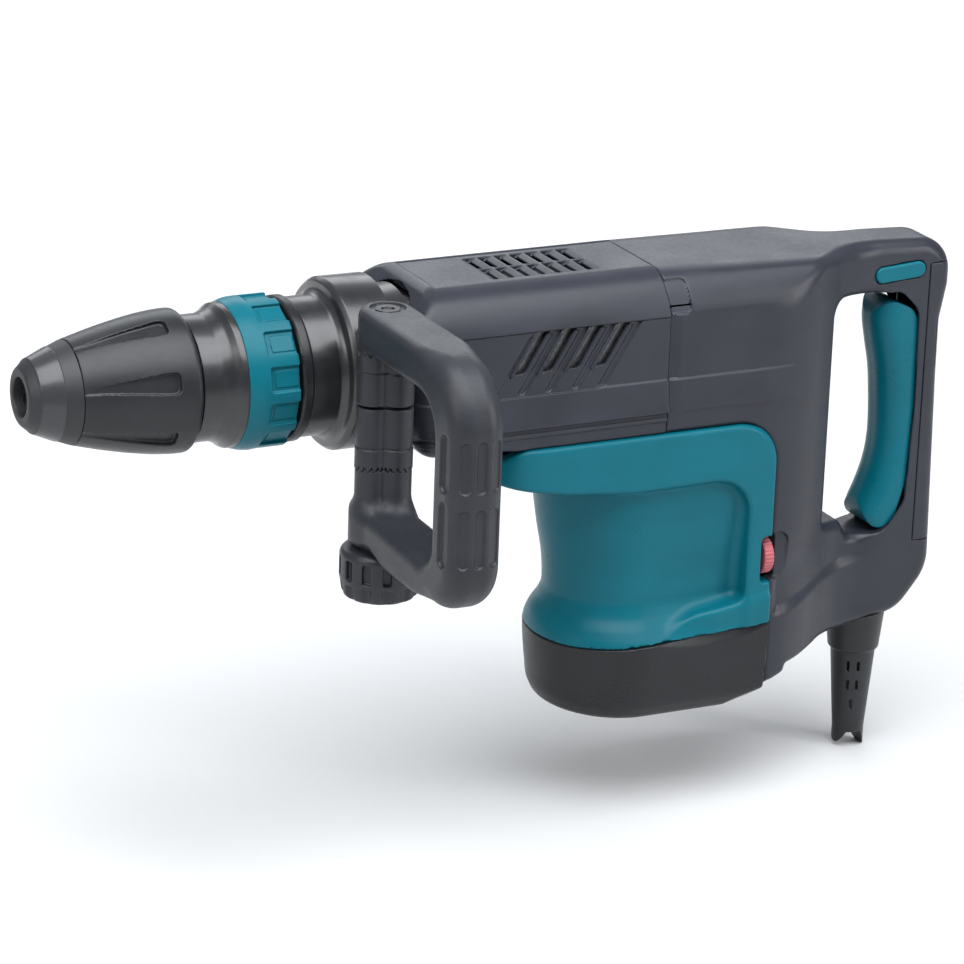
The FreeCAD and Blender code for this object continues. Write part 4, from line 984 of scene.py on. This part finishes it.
def plastic(name, color, rough, grain=0.34, relief=0.035, spread=0.16, ior=1.46, gloss=0.36):
    """Moulded plastic: spark-eroded grain, flow marks that you only just see, rubbed edges."""
    look = Look(name, color, rough)
    look.fixed(IOR=ior, Specular_IOR_Level=gloss)
    cloud = look.noise(38, 3)
    flow = look.noise(9, 4, (5, 1, 1))
    blend = look.math("ADD", look.math("MULTIPLY", cloud, 0.7), look.math("MULTIPLY", flow, 0.3))
    paint = look.mix(look.spread(blend, 0, 1), shade(color, 1 - spread), shade(color, 1 + spread))
    edge = look.math("MULTIPLY", look.worn_edges(1.2), 0.4)
    paint = look.mix(edge, paint, tuple(min(1, v * 1.5 + 0.02) for v in color))
    look.paint(paint)
    speck = look.noise(2.2, 2)
    rub = look.math("ADD", look.math("MULTIPLY", speck, 0.4), look.math("MULTIPLY", cloud, 0.6))
    look.rough(look.spread(rub, rough - 0.07, rough + 0.08))
    look.bump(look.noise(grain, 2), relief * 0.6)
    look.bump(look.grains(grain * 2.6), relief * 0.3)
    return look


def rubber():
    look = plastic("moulded_rubber", (0.013, 0.014, 0.016), 0.36, 0.5, 0.03, 0.22, 1.5)
    return look.material


def cap_rubber():
    """The chuck's front cap: matt rubber with a band polished where it rubs on the work, and that
    band also painted lighter as a painted highlight.
    """
    look = Look("cap_rubber_polish_and_painted_highlight", (0.036, 0.037, 0.040), 0.5)
    split = look.tree.nodes.new("ShaderNodeSeparateXYZ")
    look.link(look.place, split.inputs[0])
    front = look.spread(split.outputs["X"], 0, 1, -0.0012, -0.0002)
    back = look.spread(split.outputs["X"], 1, 0, 0.0102, 0.0112)
    band = look.math("MULTIPLY", front, back)
    polish_and_painted_highlight = look.math("MULTIPLY", band, look.spread(look.noise(7, 3), 0.85, 1))
    look.rough(look.spread(polish_and_painted_highlight, 0.52, 0.24, 0, 1))
    # the polished band is painted lighter than the rest of the cap: a painted highlight
    look.paint(look.mix(polish_and_painted_highlight, (0.013, 0.014, 0.016), (0.03, 0.031, 0.034)))
    look.bump(look.noise(0.5, 3), 0.02, 0.5)
    return look.material


def enamel():
    look = Look("black_enamel_paint", (0.02, 0.02, 0.022), 0.3)
    look.fixed(Coat_Weight=0.3, Coat_Roughness=0.2, IOR=1.5)
    look.mottle(look.noise(14, 3), (0.008, 0.008, 0.009), (0.012, 0.012, 0.014))
    look.rough(look.spread(look.noise(6, 3), 0.28, 0.36))
    return look.material


def metal(name, color, rough, stretch, scratch=0.5, depth=0.006, stain=0.2):
    look = Look(name, color, rough)
    look.fixed(Metallic=1.0)
    line = look.noise(scratch, 4, stretch)
    cloud = look.noise(12, 4)
    tone = look.math("ADD", look.math("MULTIPLY", line, 0.35), look.math("MULTIPLY", cloud, 0.65))
    look.mottle(tone, shade(color, 1 - stain), shade(color, 1 + stain))
    look.rough(look.spread(tone, rough - 0.08, rough + 0.1))
    look.bump(line, depth, 0.6)
    return look.material


def cast_alloy():
    look = Look("cast_alloy_skin", (0.2, 0.2, 0.2), 0.5)
    look.fixed(Metallic=1.0)
    # the alloy is painted darker than bare cast alloy, as painted shade, so the inside seen through
    # the vents reads dark
    look.mottle(look.noise(9, 4), (0.15, 0.15, 0.155), (0.26, 0.26, 0.26))
    look.rough(look.spread(look.noise(2, 3), 0.4, 0.6))
    look.bump(look.noise(0.9, 4), 0.05, 0.7)
    return look.material


def laminations():
    look = Look("varnished_laminations", (0.24, 0.2, 0.18), 0.4)
    look.fixed(Metallic=0.7, Coat_Weight=0.3, Coat_Roughness=0.25)
    look.mottle(look.noise(6, 3, (9, 9, 0.12)), (0.17, 0.14, 0.13), (0.34, 0.3, 0.27))
    look.bump(look.noise(0.8, 2, (30, 30, 0.6)), 0.05, 0.8)
    return look.material


MATERIALS = {
    "rubber_black": rubber(),
    "grip_grey": plastic("grip_nylon", (0.021, 0.0225, 0.0275), 0.4, 0.42, 0.05, 0.16).material,
    "body_grey": plastic("body_nylon", (0.021, 0.0225, 0.031), 0.36, 0.36, 0.04, 0.13).material,
    "body_black": plastic("black_nylon", (0.012, 0.012, 0.014), 0.34, 0.36, 0.03, 0.2).material,
    "teal_plastic": plastic("teal_nylon", (0.001, 0.104, 0.14), 0.34, 0.4, 0.028, 0.07, 1.46,
                            0.2).material,
    "red_plastic": plastic("dial_plastic", (0.36, 0.085, 0.1), 0.42, 0.3, 0.02, 0.1).material,
    "black_enamel": enamel(),
    "tool_steel": metal("ground_steel", (0.42, 0.42, 0.43), 0.3, (0.2, 6, 6)),
    "spring_steel": metal("oiled_spring_steel", (0.27, 0.27, 0.29), 0.34, (1, 1, 1), 1.2),
    "cast_alloy": cast_alloy(),
    "laminated_steel": laminations(),
    "copper_bars": metal("turned_copper", (0.72, 0.36, 0.2), 0.28, (6, 6, 0.2)),
    "carbon": plastic("pressed_carbon", (0.02, 0.02, 0.022), 0.6, 0.2, 0.02, 0.3).material,
    "board_green": plastic("lacquered_board", (0.012, 0.1, 0.045), 0.25, 0.6, 0.01, 0.2).material,
}


def dress_frame():
    """The CAD nodes that stay in view get their slots' materials."""
    for row in frame["record"]["subparts"]:
        thing = frame["nodes"].get(row["node"])
        if thing is None:
            continue
        for place in thing.material_slots:
            place.material = MATERIALS[row["material_slot"]]


# ---------------------------------------------------------------- assembly


def place(piece, body, slot, *nodes, material=None):
    piece.data.materials.clear()
    piece.data.materials.append(material or MATERIALS[slot])
    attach(piece, body)
    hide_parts(*nodes)
    return piece


FIELD_PIECES = [
    # piece name, field, CAD node, body, slot, step in mm
    ("sleeve_rubber", release_sleeve, "release_sleeve", "sleeve", "rubber_black", 0.9),
    ("mode_ring", change_ring, "change_ring", "change", "teal_plastic", 0.8),
    ("top_cover_moulding", top_cover, "top_cover", "base", "body_grey", 1.1),
    ("crankcase_cover", body_shell, "body_shell", "base", "body_grey", 1.1),
    ("motor_cover_teal", motor_housing, "motor_housing", "base", "teal_plastic", 1.3),
    ("base_cover", motor_bottom_cover, "motor_bottom_cover", "base", "body_black", 1.2),
    ("rear_handle_moulding", rear_handle, "rear_handle", "base", "body_grey", 1.3),
    ("handle_back_moulding", handle_back_cover, "handle_back_cover", "base", "body_grey", 0.9),
    ("lock_button_cap", lock_button, "lock_button", "lock", "teal_plastic", 0.6),
    ("switch_lever_moulding", switch_lever, "switch_lever", "lever", "teal_plastic", 0.8),
    ("speed_dial_wheel", speed_dial, "speed_dial", "dial", "red_plastic", 0.35),
    ("cord_guard_rubber", cord_guard, "cord_guard", "base", "rubber_black", 0.7),
    ("clamp_upper_moulding", clamp_half_upper, "clamp_half_upper", "clamp", "grip_grey", 0.8),
    ("clamp_lower_moulding", clamp_half_lower, "clamp_half_lower", "clamp", "grip_grey", 0.8),
    ("side_handle_moulding", side_grip, "side_grip", "side_handle", "grip_grey", 0.9),
    ("clamp_knob_moulding", clamp_knob, "clamp_knob", "knob", "grip_grey", 0.6),
]


def enamel_band(piece):
    """Enamels the clamp's strap over the drum, and leaves its post bare nylon."""
    piece.data.materials.append(MATERIALS["black_enamel"])
    for face in piece.data.polygons:
        x, y, z = face.center / MM
        if math.hypot(y, z) < 49.2 and y > POST_Y + 16 and 176 < x < 192 and y < 38:
            face.material_index = 1


def build_pieces():
    black_steel = metal("blackened_steel", (0.07, 0.07, 0.075), 0.42, (1, 1, 1), 1.0)
    for name, field, node, body, slot, step in FIELD_PIECES:
        coarse = 1.0
        gap = 3 * step * coarse
        lowest = [v - gap - 5 for v in low(node)]
        highest = [v + gap + 3 for v in high(node)]
        piece = place(moulded(name, field, lowest, highest, step * coarse), body, slot, node)
        if field in (clamp_half_upper, clamp_half_lower):
            enamel_band(piece)
    place(front_cap(), "chuck", "rubber_black", "front_cap", material=cap_rubber())
    place(ring_collar(), "change", "black_enamel", "ring_collar")
    place(barrel_nose_ring(), "base", "body_black", "barrel_nose_ring")
    place(barrel(), "base", "black_enamel", "barrel")
    place(clamp_bolt(), "side_handle", "tool_steel", "clamp_bolt", material=black_steel)


# ---------------------------------------------------------------- floor, light, camera


def pale_floor():
    look = Look("pale_floor", (0.6, 0.6, 0.6), 0.8)
    look.mottle(look.noise(700, 2), (0.59, 0.59, 0.595), (0.61, 0.61, 0.61))
    bottom = size_before[0][2] - 0.004
    reach = 6.0
    mesh = bpy.data.meshes.new("floor")
    mesh.from_pydata([(-reach, -reach, bottom), (reach, -reach, bottom), (reach, reach, bottom),
                      (-reach, reach, bottom)], [], [(0, 1, 2, 3)])
    floor = bpy.data.objects.new("floor", mesh)
    mesh.materials.append(look.material)
    bpy.context.scene.collection.objects.link(floor)


def area_light(name, spot, target, wide, tall, power, color=(1, 1, 1), spread=180):
    data = bpy.data.lights.new(name, "AREA")
    data.shape = "RECTANGLE"
    data.size = wide
    data.size_y = tall
    data.energy = power
    data.color = color
    data.spread = math.radians(spread)
    thing = bpy.data.objects.new(name, data)
    thing.location = spot
    aim = Vector(target) - Vector(spot)
    thing.rotation_euler = aim.to_track_quat("-Z", "Y").to_euler()
    bpy.context.scene.collection.objects.link(thing)


def lights():
    middle = (0.27, 0, -0.05)
    area_light("top_soft_box", (0.1, -0.6, 1.6), middle, 2.5, 1.7, 80, (0.95, 0.975, 1))
    area_light("front_soft_box", (-1.7, -0.5, 0.9), middle, 0.5, 1.0, 11)
    area_light("side_soft_box", (1.6, -1.3, 0.45), middle, 0.4, 1.2, 13)
    area_light("sheen_box", (0.9, 2.1, 1.1), middle, 2.4, 0.9, 16, (0.94, 0.97, 1))
    area_light("far_floor_light", (0.9, 3.4, 2.6), (0.9, 3.4, -0.3), 4.0, 2.6, 170, spread=85)
    world = bpy.data.worlds.new("studio")
    world.use_nodes = True
    world.node_tree.nodes["Background"].inputs[0].default_value = (0.9, 0.94, 1, 1)
    world.node_tree.nodes["Background"].inputs[1].default_value = 0.34
    bpy.context.scene.world = world


def camera():
    """A long lens from the front left, a little above, and level but for a slight roll."""
    turn = math.radians(26.5588)
    rise = math.radians(19.1375)
    roll = math.radians(2.0826)
    away = 2439.86
    focal = 4500.0
    ahead = Vector((math.sin(turn) * math.cos(rise), math.cos(turn) * math.cos(rise),
                    -math.sin(rise)))
    level = Vector((math.cos(turn), -math.sin(turn), 0))
    above = level.cross(ahead)
    right = level * math.cos(roll) + above * math.sin(roll)
    up = -level * math.sin(roll) + above * math.cos(roll)
    spot = (Vector((269, 0, 0)) - ahead * away - right * (15.533 * away / focal)
            - up * (138.425 * away / focal))
    data = bpy.data.cameras.new("photo_view")
    data.sensor_width = 36
    data.lens = 36 * focal / 964
    data.clip_end = 50
    thing = bpy.data.objects.new("photo_view", data)
    frame_of = Matrix((right, up, -ahead)).transposed().to_4x4()
    frame_of.translation = spot * MM
    thing.matrix_world = frame_of
    bpy.context.scene.collection.objects.link(thing)
    bpy.context.scene.camera = thing


def picture_tone():
    scene = bpy.context.scene
    scene.view_settings.view_transform = "Standard"
    scene.view_settings.exposure = 0.0


dress_frame()
build_pieces()
pale_floor()
lights()
camera()
picture_tone()
bpy.context.view_layer.update()
